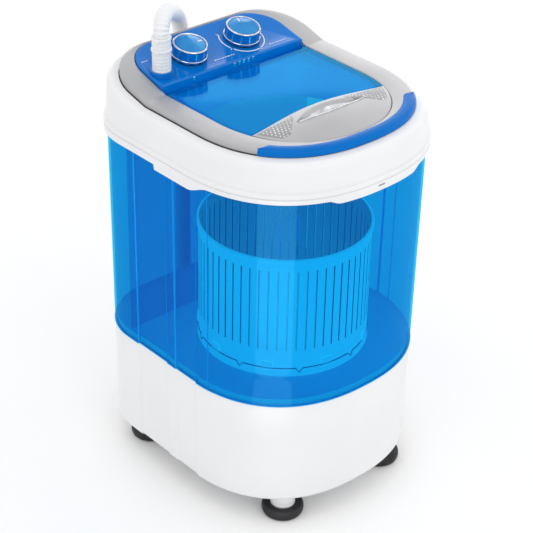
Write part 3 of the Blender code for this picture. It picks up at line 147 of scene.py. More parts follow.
def surface(name, colour, other, roughness, metallic=0.0, grain=900.0, grit=0.00002, coat=0.0,
            patches=9.0, spread=0.05, specular=0.5, painted_glow=0.0):
    """A moulded or metal surface: broad colour patches, a fine grain, and uneven gloss. Any glow makes it
    give off light of its own colour: painted light, for it is no lamp.
    """
    made, tree, shader = nodes_of(name)
    broad = noise_node(tree, patches, 2.0)
    fine = noise_node(tree, grain, 3.0)
    tree.links.new(blend_colours(tree, broad, colour, other), shader.inputs["Base Color"])
    tree.links.new(ramp(tree, fine, roughness - spread, roughness + spread), shader.inputs["Roughness"])
    tree.links.new(bump(tree, fine, 0.35, grit), shader.inputs["Normal"])
    shader.inputs["Metallic"].default_value = metallic
    shader.inputs["Specular IOR Level"].default_value = specular
    shader.inputs["Coat Weight"].default_value = coat
    shader.inputs["Coat Roughness"].default_value = 0.05
    if painted_glow:
        shader.inputs["Emission Color"].default_value = (*colour, 1.0)
        shader.inputs["Emission Strength"].default_value = painted_glow
    return made


def edge_gloss(tree, straight_on, at_edge):
    """How much of a surface mirrors: a little when seen straight on, and more towards its edges."""
    facing = tree.nodes.new("ShaderNodeLayerWeight")
    power = tree.nodes.new("ShaderNodeMath")
    power.operation = "POWER"
    power.inputs[1].default_value = 4.0
    tree.links.new(facing.outputs["Facing"], power.inputs[0])
    made = tree.nodes.new("ShaderNodeMapRange")
    made.inputs["To Min"].default_value = straight_on
    made.inputs["To Max"].default_value = at_edge
    tree.links.new(power.outputs["Value"], made.inputs["Value"])
    return made.outputs["Result"]


def clear_plastic(name, tint, other, body, cover, roughness=0.05, shine=(0.04, 0.45), painted_glow=0.0):
    """Tinted clear plastic: light passes and takes its colour, some is scattered, and it shines. Any glow
    makes it give off light of its body colour: painted light.
    """
    made, tree, shader = nodes_of(name)
    out = tree.nodes["Material Output"]
    broad = noise_node(tree, 7.0, 2.0)
    fine = noise_node(tree, 260.0, 2.0)
    through = tree.nodes.new("ShaderNodeBsdfTransparent")
    tree.links.new(blend_colours(tree, broad, tint, other), through.inputs["Color"])
    shader.inputs["Base Color"].default_value = (*body, 1.0)
    shader.inputs["Roughness"].default_value = 0.5
    shader.inputs["Specular IOR Level"].default_value = 0.0
    if painted_glow:
        shader.inputs["Emission Color"].default_value = (*body, 1.0)
        shader.inputs["Emission Strength"].default_value = painted_glow
    first = tree.nodes.new("ShaderNodeMixShader")
    tree.links.new(ramp(tree, broad, cover * 0.9, cover * 1.1), first.inputs["Fac"])
    tree.links.new(through.outputs["BSDF"], first.inputs[1])
    tree.links.new(shader.outputs["BSDF"], first.inputs[2])
    mirror = tree.nodes.new("ShaderNodeBsdfGlossy")
    mirror.inputs["Color"].default_value = (0.18, 0.76, 1.0, 1.0)
    mirror.inputs["Roughness"].default_value = roughness
    tree.links.new(bump(tree, fine, 0.1, 0.00002), mirror.inputs["Normal"])
    last = tree.nodes.new("ShaderNodeMixShader")
    tree.links.new(edge_gloss(tree, *shine), last.inputs["Fac"])
    tree.links.new(first.outputs["Shader"], last.inputs[1])
    tree.links.new(mirror.outputs["BSDF"], last.inputs[2])
    tree.links.new(last.outputs["Shader"], out.inputs["Surface"])
    return made


WHITE = surface("white_plastic", (0.79, 0.795, 0.81), (0.82, 0.825, 0.835), 0.34, coat=0.12, specular=0.4)
TUB_BLUE = clear_plastic("tub_clear_blue", (0.08, 0.735, 0.915), (0.12, 0.76, 0.925), (0.0, 0.22, 0.72), 0.08,
                         roughness=0.04, shine=(0.028, 0.30))
INNER_BLUE = clear_plastic("inner_clear_blue", (0.25, 0.78, 0.94), (0.28, 0.80, 0.95),
                           (0.0, 0.20, 0.70), 0.12, roughness=0.15, shine=(0.01, 0.10))
WINDOW_BLUE = clear_plastic("window_clear_blue", (0.05, 0.84, 0.935), (0.08, 0.86, 0.94),
                            (0.0, 0.26, 0.70), 0.12, roughness=0.07, shine=(0.045, 0.40))
# Lighter blue that glows, for the lines where the tub's wall steps and for its seam bead: painted highlights.
EDGE_HIGHLIGHT_BLUE = clear_plastic("edge_highlight_blue", (0.10, 0.80, 0.95), (0.16, 0.84, 0.96), (0.0, 0.38, 0.86), 0.45,
                          roughness=0.06, shine=(0.05, 0.40), painted_glow=0.15)
# The tub's floor panel glows: painted light that lightens it.
FLOOR_BLUE = surface("tub_floor_blue", (0.0, 0.36, 0.62), (0.0, 0.42, 0.68), 0.3, painted_glow=0.24, specular=0.2)
CRESCENT_BLUE = surface("crescent_blue", (0.0, 0.135, 0.50), (0.0, 0.16, 0.56), 0.2, spread=0.04,
                        specular=0.08)
BLUE = surface("panel_blue", (0.0, 0.155, 0.555), (0.0, 0.175, 0.60), 0.16, coat=0.08, grain=500.0,
               grit=0.00001, spread=0.04, specular=0.22)
KNOB_BLUE = surface("knob_top_blue", (0.0, 0.24, 0.62), (0.02, 0.30, 0.68), 0.18, coat=0.2, patches=45.0,
                    grit=0.00001, specular=0.3)
# The throat ledge glows: painted light.
LEDGE_BLUE = surface("ledge_blue", (0.0, 0.26, 0.78), (0.0, 0.30, 0.82), 0.22, coat=0.2, painted_glow=0.12)
SILVER = surface("satin_silver", (0.42, 0.42, 0.435), (0.48, 0.48, 0.495), 0.38, metallic=0.5,
                 grain=2200.0, grit=0.00003, coat=0.05)
GRIP_GREY = surface("grip_silver", (0.30, 0.30, 0.315), (0.34, 0.34, 0.35), 0.45, metallic=0.5,
                    grain=2200.0, grit=0.00003)
# Chrome, with its colour going light to dark in patches: painted reflections.
CHROME = surface("chrome", (0.90, 0.91, 0.93), (0.50, 0.52, 0.56), 0.08, metallic=1.0, grit=0.000005,
                 spread=0.03, patches=70.0)
RUBBER = surface("black_rubber", (0.012, 0.012, 0.014), (0.020, 0.020, 0.022), 0.55, grit=0.00006,
                 specular=0.35)
# Near black for the line between trim and ring and for the ring under each knob: painted shade.
SHADOW_BLACK = surface("shadow_black", (0.02, 0.02, 0.03), (0.03, 0.03, 0.04), 0.7)
HOSE_WHITE = surface("hose_white", (0.80, 0.81, 0.83), (0.85, 0.86, 0.87), 0.42, patches=30.0)
# The basket, its tabs and the pulsator glow: painted light.
BASKET_WHITE = surface("basket_plastic", (0.84, 0.92, 0.95), (0.90, 0.95, 0.97), 0.35, painted_glow=0.33)
# A darker copy of the basket's colour for its inner faces: painted shade.
BASKET_INSIDE_SHADE = surface("basket_inside_shade", (0.34, 0.62, 0.80), (0.42, 0.68, 0.84), 0.35)
SLOT_SHADE = surface("slot_shade", (0.0, 0.10, 0.34), (0.0, 0.13, 0.40), 0.5)
PRINT = surface("white_print", (0.85, 0.87, 0.90), (0.80, 0.83, 0.88), 0.5)
STEEL = surface("brushed_steel", (0.52, 0.53, 0.55), (0.60, 0.61, 0.62), 0.30, metallic=1.0,
                grain=1400.0, grit=0.00004)
ZINC = surface("zinc_plate", (0.58, 0.58, 0.55), (0.66, 0.66, 0.62), 0.38, metallic=1.0, patches=60.0)
COPPER = surface("copper_wire", (0.55, 0.22, 0.09), (0.66, 0.30, 0.13), 0.34, metallic=1.0,
                 grain=1600.0, grit=0.0002)
CASING = surface("switch_casing", (0.03, 0.03, 0.035), (0.05, 0.05, 0.055), 0.5)


# ---------------------------------------------------------------- meshes
def put(name, verts, faces, look, body, replaces=(), smooth=32.0, slot=None, inside=None):
    """A closed mesh in the machine's own coordinates becomes a piece that rides on a body."""
    mesh = bpy.data.meshes.new(name)
    mesh.from_pydata([(x, y + AXIS_Y, z) for x, y, z in verts], [], faces)
    work = bmesh.new()
    work.from_mesh(mesh)
    bmesh.ops.recalc_face_normals(work, faces=work.faces)
    work.to_mesh(mesh)
    work.free()
    mesh.shade_smooth()
    mesh.set_sharp_from_angle(angle=math.radians(smooth))
    made = bpy.data.objects.new(name, mesh)
    bpy.context.scene.collection.objects.link(made)
    mesh.materials.append(look)
    # Faces turned to the axis take the darker inside colour, and the side faces of the slots take SLOT_SHADE:
    # both are painted shade.
    if inside:
        mesh.materials.append(inside)
        mesh.materials.append(SLOT_SHADE)
        for face in mesh.polygons:
            inward = -(face.center.x * face.normal.x + (face.center.y - AXIS_Y) * face.normal.y)
            reach = math.hypot(face.center.x, face.center.y - AXIS_Y)
            if abs(face.normal.z) < 0.5 and abs(inward) < 0.5 * reach:
                face.material_index = 2
            elif inward > 0.5 * reach:
                face.material_index = 1
    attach(made, body)
    if replaces:
        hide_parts(*replaces)
    return made


def loft(rings, closed=False):
    """Vertices and faces of a solid through rings of equal count."""
    count = len(rings[0])
    verts = [point for ring in rings for point in ring]
    faces = []
    last = len(rings)
    for k in range(last if closed else last - 1):
        a, b = k * count, ((k + 1) % last) * count
        for i in range(count):
            j = (i + 1) % count
            faces.append((a + i, a + j, b + j, b + i))
    if not closed:
        faces.append(tuple(range(count)))
        faces.append(tuple(range((last - 1) * count, last * count)))
    return verts, faces


def turned(profile, sides=64, closed=False, centre=(0.0, 0.0, 0.0), shape=None):
    """A solid of revolution about Z. An open profile starts and ends on the axis."""
    verts, rows, faces = [], [], []
    for radius, z in profile:
        start = len(verts)
        if radius == 0.0:
            verts.append((centre[0], centre[1], centre[2] + z))
            rows.append([start])
            continue
        for i in range(sides):
            turn = 2 * math.pi * i / sides
            r = shape(turn, radius, z) if shape else radius
            verts.append((centre[0] + r * math.cos(turn), centre[1] + r * math.sin(turn), centre[2] + z))
        rows.append(list(range(start, start + sides)))
    pairs = list(zip(rows, rows[1:]))
    if closed:
        pairs.append((rows[-1], rows[0]))
    for low, high in pairs:
        if len(low) == len(high) == 1:
            continue
        for i in range(sides):
            j = (i + 1) % sides
            corners = [low[i % len(low)], low[j % len(low)], high[j % len(high)], high[i % len(high)]]
            faces.append(tuple(dict.fromkeys(corners)))
    return verts, faces


def grid_solid(top, bottom):
    """A curved plate between two grids of points of equal size."""
    rows, columns = len(top), len(top[0])
    verts = [p for row in top for p in row] + [p for row in bottom for p in row]
    half = rows * columns
    faces = []
    for i in range(rows - 1):
        for j in range(columns - 1):
            a = i * columns + j
            faces.append((a, a + 1, a + columns + 1, a + columns))
            faces.append((half + a, half + a + columns, half + a + columns + 1, half + a + 1))
    for j in range(columns - 1):
        for a in (j, (rows - 1) * columns + j):
            faces.append((a, a + 1, half + a + 1, half + a))
    for i in range(rows - 1):
        for a in (i * columns, i * columns + columns - 1):
            faces.append((a, a + columns, half + a + columns, half + a))
    return verts, faces


def tube(path, radius, sides=28, bore=0.0):
    """A pipe along a path; radius is a function of the distance along it."""
    points = [Vector(p) for p in path]
    ways = [
        (points[min(i + 1, len(points) - 1)] - points[max(i - 1, 0)]).normalized()
        for i in range(len(points))
    ]
    side = ways[0].orthogonal().normalized()
    rings, inner, along = [], [], 0.0
    for i, (point, way) in enumerate(zip(points, ways)):
        if i:
            along += (point - points[i - 1]).length
        side = (side - way * side.dot(way)).normalized()
        other = way.cross(side)
        r = radius(along)
        spokes = [side * math.cos(t) + other * math.sin(t)
                  for t in (2 * math.pi * k / sides for k in range(sides))]
        rings.append([tuple(point + s * r) for s in spokes])
        if bore:
            inner.append([tuple(point + s * bore) for s in spokes])
    return loft(rings + inner[::-1], closed=bool(bore))


def merged(*shapes):
    """Several closed meshes as one list of vertices and faces."""
    verts, faces = [], []
    for more_verts, more_faces in shapes:
        start = len(verts)
        verts += more_verts
        faces += [tuple(start + i for i in face) for face in more_faces]
    return verts, faces


def moved(shape, matrix):
    verts, faces = shape
    return [tuple(matrix @ Vector(v)) for v in verts], faces


def rounded_bar(low, high, round_off=0.0004):
    """A box with bevelled edges, as a loft of rings of eight points."""
    (x0, y0, z0), (x1, y1, z1) = low, high
    r = round_off

    def ring(inset, z):
        a, b, c, d = x0 + inset, x1 - inset, y0 + inset, y1 - inset
        return [(a + r, c, z), (b - r, c, z), (b, c + r, z), (b, d - r, z),
                (b - r, d, z), (a + r, d, z), (a, d - r, z), (a, c + r, z)]

    return loft([ring(r, z0), ring(0.0, z0 + r), ring(0.0, z1 - r), ring(r, z1)])


def smooth_step(value, low, high):
    t = min(1.0, max(0.0, (value - low) / (high - low)))
    return t * t * (3 - 2 * t)


# ---------------------------------------------------------------- outlines
def side_stations():
    """Y of the points along a side, close together where the side steps."""
    found = {round(0.125 - 0.004 * i, 5) for i in range(46)}
    found |= {RISE_START_Y, -0.060}
    for edge in (COLUMN_FRONT_Y, RIB_REAR_Y, RIB_FRONT_Y, BARREL_REAR_Y, 0.055):
        found |= {round(edge + 0.0005 * i, 5) for i in range(-4, 5)}
    return sorted((y for y in found if -0.0601 <= y <= 0.1251), reverse=True)


STATIONS = side_stations()


def relief_at(y):
    edge = 0.0014
    inside = smooth_step(-y, -COLUMN_FRONT_Y - edge, -COLUMN_FRONT_Y + edge)
    inside -= smooth_step(-y, -BARREL_REAR_Y - edge, -BARREL_REAR_Y + edge)
    rib = smooth_step(-y, -RIB_REAR_Y - edge, -RIB_REAR_Y + edge)
    rib -= smooth_step(-y, -RIB_FRONT_Y - edge, -RIB_FRONT_Y + edge)
    return RECESS_DEPTH * inside - RIB_RISE * rib


def outline(half_width, front, rear, corner, power, relief=False):
    left = [(-(half_width - corner) * i / 10, rear) for i in range(1, 10)]
    for i in range(17):
        turn = math.pi / 2 * (1 + i / 16)
        left.append((-(half_width - corner) + corner * math.cos(turn),
                     rear - corner + corner * math.sin(turn)))
    for y in STATIONS:
        bow = max(0.0, 1 - (max(0.0, -y) / front) ** power) ** (1 / power)
        left.append((-half_width * bow + (relief_at(y) if relief else 0.0), y))
    start = math.asin((0.060 / front) ** (power / 2))
    steps = 44
    for i in range(1, steps):
        turn = start + (math.pi / 2 - start) * i / steps
        left.append((-half_width * math.cos(turn) ** (2 / power), -front * math.sin(turn) ** (2 / power)))
    right = [(-x, y) for x, y in reversed(left)]
    return [(0.0, rear)] + left + [(0.0, -front)] + right


def body_outline(offset, relief=False):
    return outline(HALF_WIDTH + offset, FRONT_DEPTH + offset, REAR_DEPTH + offset, REAR_CORNER + offset,
                   FRONT_POWER, relief)


def wall_outline(offset, z, relief=True):
    return body_outline(offset + DRAFT * (z - SEAM_Z), relief)


def opening_outline(offset):
    return outline(LID_HALF_WIDTH + offset, LID_FRONT + offset, PANEL_REAR + offset, PANEL_CORNER + offset,
                   LID_POWER)


def onto_circle(points, radius):
    return [(x * radius / math.hypot(x, y), y * radius / math.hypot(x, y)) for x, y in points]


def between(first, second, share):
    return [(a[0] + (b[0] - a[0]) * share, a[1] + (b[1] - a[1]) * share) for a, b in zip(first, second)]


def at_height(points, z):
    return [(x, y, z(x, y) if callable(z) else z) for x, y in points]


def wall_ring(offset, z):
    return at_height(wall_outline(offset, z), z)


def seam_ring(offset, up):
    """A ring by the tub's lower edge, which keeps the outline that the wall has there."""
    return at_height(wall_outline(offset, SEAM_Z), SEAM_Z + up)


def body_ring(offset, z):
    return at_height(body_outline(offset), z)


def opening_ring(offset, z):
    return at_height(opening_outline(offset), z)


def quarter(steps, first=0):
    """Angles of a quarter turn."""
    return [math.pi / 2 * i / steps for i in range(first, steps + 1)]


def ring_rise(y):
    return max(0.0, y - RISE_START_Y) * RING_RISE


def trim_rise(y):
    return max(0.0, y - RISE_START_Y) * TRIM_RISE


# ---------------------------------------------------------------- camera, light and floor
def look_matrix(azimuth, elevation, roll, target, distance):
    az, el, turn = math.radians(azimuth), math.radians(elevation), math.radians(roll)
    back = Vector((math.sin(az) * math.cos(el), -math.cos(az) * math.cos(el), math.sin(el)))
    right = Vector((math.cos(az), math.sin(az), 0.0))
    up = back.cross(right)
    across = right * math.cos(turn) + up * math.sin(turn)
    over = up * math.cos(turn) - right * math.sin(turn)
    matrix = Matrix((across, over, back)).transposed().to_4x4()
    matrix.translation = Vector(target) + back * distance
    return matrix


CAMERA_LENS, CAMERA_SHIFT = 111.55, (0.0056, 0.0058)
CAMERA_AZIMUTH, CAMERA_ELEVATION, CAMERA_ROLL, CAMERA_DISTANCE = -42.0188, 31.46, 1.2244, 2.3873
CAMERA_TARGET = (0.066686, 0.115267 + AXIS_Y, 0.199023 + 0.018)


def add_camera():
    lens = bpy.data.cameras.new("camera")
    lens.sensor_width = 36.0
    lens.lens = CAMERA_LENS
    lens.shift_x, lens.shift_y = CAMERA_SHIFT
    lens.clip_end = 30.0
    made = bpy.data.objects.new("camera", lens)
    bpy.context.scene.collection.objects.link(made)
    made.matrix_world = look_matrix(CAMERA_AZIMUTH, CAMERA_ELEVATION, CAMERA_ROLL, CAMERA_TARGET,
                                    CAMERA_DISTANCE)
    bpy.context.scene.camera = made


def add_light(name, azimuth, elevation, distance, width, height, power, aim=0.32):
    lamp = bpy.data.lights.new(name, "AREA")
    lamp.shape = "RECTANGLE"
    lamp.size, lamp.size_y = width, height
    lamp.energy = power
    made = bpy.data.objects.new(name, lamp)
    bpy.context.scene.collection.objects.link(made)
    made.matrix_world = look_matrix(azimuth, elevation, 0.0, (0.0, AXIS_Y, aim), distance)
    return made


def add_studio():
    world = bpy.data.worlds.new("studio")
    bpy.context.scene.world = world
    world.use_nodes = True
    shade = world.node_tree.nodes["Background"]
    shade.inputs["Color"].default_value = (1.0, 1.0, 1.0, 1.0)
    shade.inputs["Strength"].default_value = 1.0
    add_light("key", -10.0, 30.0, 2.4, 1.1, 1.5, 4.5)
    add_light("rim", 75.0, 25.0, 2.4, 0.7, 1.6, 2.0)
    add_light("top", -60.0, 70.0, 2.2, 0.9, 0.9, 2.5)
    cards = [add_light("low_card", -46.5, 0.0, 0.50, 0.30, 0.34, 0.62, aim=0.17),
             add_light("rear_card", 138.0, 0.0, 1.15, 1.5, 0.95, 5.0, aim=0.66)]
    for card in cards:
        card.visible_diffuse = False
    mesh = bpy.data.meshes.new("floor")
    reach = 6.0
    mesh.from_pydata([(-reach, -reach, 0), (reach, -reach, 0), (reach, reach, 0), (-reach, reach, 0)], [],
                     [(0, 1, 2, 3)])
    mesh.materials.append(surface("floor_white", (0.975, 0.975, 0.975), (0.98, 0.98, 0.98), 0.6,
                                  specular=0.1))
    floor = bpy.data.objects.new("floor", mesh)
    bpy.context.scene.collection.objects.link(floor)
    bpy.context.scene.view_settings.view_transform = "Standard"
    bpy.context.scene.cycles.transparent_max_bounces = 24


# ---------------------------------------------------------------- base
def make_base():
    top = SEAM_Z - 0.0003
    fold, wall = 0.009, 0.0028
    outer = []
    for turn in quarter(7):
        outer.append(wall_ring(-fold * (1 - math.sin(turn)), LEG_Z + fold * (1 - math.cos(turn))))
    outer += [wall_ring(0.0, z) for z in (LEG_Z + 0.05, LEG_Z + 0.10, top - 0.0016)]
    outer.append(at_height(wall_outline(-0.0004, top), top - 0.0005))
    outer += [wall_ring(-0.0011, top), wall_ring(-wall, top)]
    outer.append(at_height(wall_outline(-wall, LEG_Z), LEG_Z + fold))
    outer.append(at_height(wall_outline(-fold, LEG_Z), LEG_Z + 0.006))
    put("base_skirt", *loft(outer, closed=True), WHITE, "machine", ["base_shell"])
    shapes = []
    for i in range(-6, 7):
        x = i * 0.0125
        shapes.append(rounded_bar((x - 0.0035, REAR_DEPTH - 0.0014, 0.140),
                                  (x + 0.0035, REAR_DEPTH + 0.0008, 0.168)))
    put("rear_vent_slats", *merged(*shapes), WHITE, "machine")
    plate = rounded_bar((0.030, REAR_DEPTH - 0.0018, 0.070), (0.080, REAR_DEPTH - 0.0003, 0.100))
    put("blank_data_plate", *plate, SILVER, "machine")


def make_feet():
    for number, (x, y) in enumerate(FEET, 1):
        low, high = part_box(f"rubber_foot_{number}")
        radius, height = (high.x - low.x) / 2, high.z
        bore = 0.0173
        profile = [(0.0, 0.0), (radius * 0.80, 0.0), (radius * 0.90, 0.0008)]
        for i in range(13):
            turn = -math.pi / 2 + math.pi * i / 12
            profile.append((radius * 0.88 + radius * 0.12 * math.cos(turn),
                            height * 0.50 + height * 0.46 * math.sin(turn)))
        profile += [(radius * 0.74, height), (bore + 0.0012, height * 0.97), (bore, height * 0.88),
                    (bore, 0.0056), (0.0, 0.0056)]
        put(f"foot_rubber_{number}", *turned(profile, 56, centre=(x, y, 0.0)), RUBBER, "machine",
            [f"rubber_foot_{number}"])
        leg = 0.0170
        profile = [(0.0, 0.0058), (leg - 0.0006, 0.0058), (leg, 0.0066), (leg, height + 0.001),
                   (leg - 0.0008, height + 0.002), (leg - 0.0008, height + 0.004), (leg, height + 0.005),
                   (leg, LEG_Z - 0.004), (leg + 0.002, LEG_Z - 0.001), (leg + 0.002, LEG_Z), (0.0, LEG_Z)]
        put(f"foot_leg_{number}", *turned(profile, 56, centre=(x, y, 0.0)), WHITE, "machine",
            [f"leg_{number}"])


# ---------------------------------------------------------------- tub
def make_tub():
    top = TUB_TOP
    wall, floor = 0.0030, 0.0040
    rings = [seam_ring(offset, up) for offset, up in ((-0.0012, 0.0), (0.0002, 0.0010), (0.0004, 0.0024),
                                                      (0.0, 0.0032))]
    rings += [wall_ring(0.0, SEAM_Z + 0.0032 + (top - SEAM_Z - 0.0032) * i / 8) for i in range(1, 9)]
    rings += [wall_ring(-wall, top), wall_ring(-wall, SEAM_Z + 0.016)]
    for turn in quarter(5, 1):
        rings.append(wall_ring(-wall - 0.012 * (1 - math.cos(turn)),
                               SEAM_Z + floor + 0.012 * (1 - math.sin(turn))))
    put("tub_wall", *loft(rings), TUB_BLUE, "machine", ["tub_housing"])
    # Glowing lighter strips along the wall's steps: painted highlights.
    shapes = []
    for side in (-1, 1):
        for y, width in ((COLUMN_FRONT_Y, 0.0016), (RIB_REAR_Y, 0.0012), (RIB_FRONT_Y, 0.0022),
                         (BARREL_REAR_Y, 0.0020), (BARREL_REAR_Y - 0.022, 0.0010)):
            shapes.append(step_highlight(side, y, width))
    put("tub_step_highlights", *merged(*shapes), EDGE_HIGHLIGHT_BLUE, "machine")
    # The seam bead is real; its glowing lighter blue is a painted highlight.
    bead = [seam_ring(offset, up)
            for offset, up in ((-0.0010, 0.0003), (0.0007, 0.0005), (0.0009, 0.0012), (0.0007, 0.0020),
                               (-0.0010, 0.0022))]
    put("tub_seam_bead", *loft(bead, closed=True), EDGE_HIGHLIGHT_BLUE, "machine")
    floor_z = SEAM_Z + floor
    plate = [at_height(wall_outline(inset, SEAM_Z), floor_z + up)
             for inset, up in ((-0.0060, -0.0034), (-0.0034, -0.0034), (-0.0032, 0.0030), (-0.0033, 0.0056),
                              (-0.0052, 0.0052), (-0.0090, 0.0022), (-0.0150, 0.0008))]
    put("tub_floor_panel", *loft(plate), FLOOR_BLUE, "machine")
    low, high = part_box("tub_partition")
    put("tub_divider", *rounded_bar((low.x, low.y - AXIS_Y, low.z), (high.x, high.y - AXIS_Y, high.z),
                                    0.0006),
        INNER_BLUE, "machine", ["tub_partition"])


def step_highlight(side, y, width):
    """A thin raised strip up the side of the tub, where its wall steps; in the glowing lighter blue it is a
    painted highlight along the step.
    """
    rings = []
    for i in range(7):
        z = SEAM_Z + 0.002 + (RING_Z - 0.004 - SEAM_Z) * i / 6
        grow = DRAFT * (z - SEAM_Z)
        ring = []
        for across, out in ((-1.0, -0.0010), (-0.8, 0.0002), (0.0, 0.0004), (0.8, 0.0002), (1.0, -0.0010)):
            at = y + across * width / 2
            bow = max(0.0, 1 - (max(0.0, -at) / (FRONT_DEPTH + grow)) ** FRONT_POWER) ** (1 / FRONT_POWER)
            ring.append((side * ((HALF_WIDTH + grow) * bow - relief_at(at) + out), at, z))
        rings.append(ring)
    return loft(rings)


def make_basket():
    """A slotted basket: its wall is a grid of staves and slots with rims above and below."""
    low, top = BASKET_LOW.z, BASKET_HIGH.z
    floor_z = 0.2330
    slots = 58
    slot_low, slot_high = 0.2430, 0.3640
    wall = 0.0024
    outer, inner, rim = BASKET_RADIUS, BASKET_RADIUS - wall, BASKET_RADIUS + 0.0022
    profile = [
        (0.0, 0.2627), (0.0140, 0.2627), (0.0172, 0.2600), (0.0195, floor_z + 0.004),
        (0.0250, floor_z + 0.0006), (0.0300, floor_z), (inner - 0.008, floor_z),
        (inner - 0.002, floor_z + 0.003),
        (inner, floor_z + 0.009), (inner, slot_low), (inner, slot_high), (inner, top - 0.001),
        (inner + 0.001, top), (rim - 0.001, top), (rim, top - 0.001), (rim, top - 0.006),
        (outer + 0.0006, top - 0.008), (outer, top - 0.012), (outer, slot_high), (outer, slot_low),
        (outer, low + 0.012), (outer + 0.0012, low + 0.010), (outer + 0.0012, low), (inner, low),
        (inner, floor_z - 0.0024), (0.0190, floor_z - 0.0024), (0.0128, 0.2603), (0.0, 0.2603),
    ]
    inside, outside = 9, 18
    parts = 4
    share = [0.0, 0.17, 0.44, 0.72]
    turns = []
    for i in range(slots):
        turns += [2 * math.pi * (i + s) / slots for s in share]
    verts, rows = [], []
    for radius, z in profile:
        start = len(verts)
        if radius == 0.0:
            verts.append((0.0, 0.0, z))
            rows.append([start])
            continue
        verts += [(radius * math.cos(t), radius * math.sin(t), z) for t in turns]
        rows.append(list(range(start, start + len(turns))))
    count = len(turns)
    faces = []
    for k, (a, b) in enumerate(zip(rows, rows[1:])):
        for i in range(count):
            if k in (inside, outside) and i % parts == 0:
                continue
            j = (i + 1) % count
            faces.append(tuple(dict.fromkeys([a[i % len(a)], a[j % len(a)], b[j % len(b)], b[i % len(b)]])))
    for i in range(0, count, parts):
        j = i + 1
        near = [rows[inside][i], rows[inside][j], rows[inside + 1][j], rows[inside + 1][i]]
        far = [rows[outside + 1][i], rows[outside + 1][j], rows[outside][j], rows[outside][i]]
        for m in range(4):
            n = (m + 1) % 4
            faces.append((near[m], near[n], far[n], far[m]))
    # Its inner faces and the sides of its slots are coloured darker: painted shade.
    put("basket", verts, faces, BASKET_WHITE, "basket", ["spin_basket"],
        inside=BASKET_INSIDE_SHADE)
    tabs, line = [], []
    for i in range(9):
        turn = Matrix.Rotation(math.radians(FIRST_TAB + 40.0 * i), 4, "Z")
        tab = rounded_bar((outer - 0.0002, -0.0075, low + 0.0128), (outer + 0.0016, 0.0075, low + 0.0225))
        tabs.append(moved(tab, turn))
    put("basket_tabs", *merged(*tabs), BASKET_WHITE, "basket")
    # A dark line where the basket's lower lip meets its wall, dipping at each notch: painted shade.
    for i in range(360):
        away = (i - FIRST_NOTCH + 20.0) % 40.0 - 20.0
        drop = 0.0055 * max(0.0, 1 - abs(away) / 2.2)
        a = math.radians(i)
        ring = []
        for across, up in ((-0.0004, -0.0006), (0.0006, -0.0006), (0.0006, 0.0006), (-0.0004, 0.0006)):
            r = outer + 0.0004 + across + min(0.0012, drop)
            ring.append((r * math.cos(a), r * math.sin(a), low + 0.0120 - drop + up))
        line.append(ring)
    put("basket_flange_shade_line", *loft(line, closed=True), SLOT_SHADE, "basket")


def make_pulsator():
    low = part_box("pulsator")[0].z
    reach = 0.0880

    def wave(turn, radius, z):
        return radius * (1 + 0.018 * math.cos(6 * turn) * smooth_step(radius, 0.04, reach))

    profile = [(0.0063, low), (0.030, low), (reach - 0.002, low + 0.0020), (reach, low + 0.0035),
               (reach, low + 0.0050), (reach - 0.002, low + 0.0062), (0.055, low + 0.0085),
               (0.030, low + 0.0115), (0.018, low + 0.0120), (0.0063, low + 0.0120)]
    put("pulsator_disc", *turned(profile, 96, True, shape=wave), BASKET_WHITE, "drive", ["pulsator"])
    fins = []
    for i in range(6):
        rows_top, rows_low = [], []
        for k in range(13):
            r = 0.024 + (reach - 0.032) * k / 12
            bend = 0.10 * math.sin(math.pi * k / 12)
            crest = low + 0.0075 + 0.0110 * math.sin(math.pi * (0.12 + 0.80 * k / 12))
            up, down = [], []
            for m in range(7):
                across = m / 3 - 1
                turn = 2 * math.pi * i / 6 + bend + across * 0.0042 / r
                up.append((r * math.cos(turn), r * math.sin(turn), crest - 0.004 * across**2))
                down.append((r * math.cos(turn), r * math.sin(turn), low + 0.003))
            rows_top.append(up)
            rows_low.append(down)
        fins.append(grid_solid(rows_top, rows_low))
    put("pulsator_fins", *merged(*fins), BASKET_WHITE, "drive")


# ---------------------------------------------------------------- top ring and trim
def ring_foot(x, y):
    """Lower edge of the ring: side grips with a sharp rear step, and a shallow pad at the front."""
    if y > -0.06:
        grip = 0.0110 * smooth_step(-y, -0.0560, -0.0538)
        rear = 0.0038 * (1 - smooth_step(-y, -0.0560, -0.0538))
        fade = smooth_step(-y, 0.010, 0.046)
        return RING_Z - grip * (1 - fade) - rear
    edge = 1 - smooth_step(abs(x), 0.062, 0.078)
    return RING_Z - 0.0055 * edge


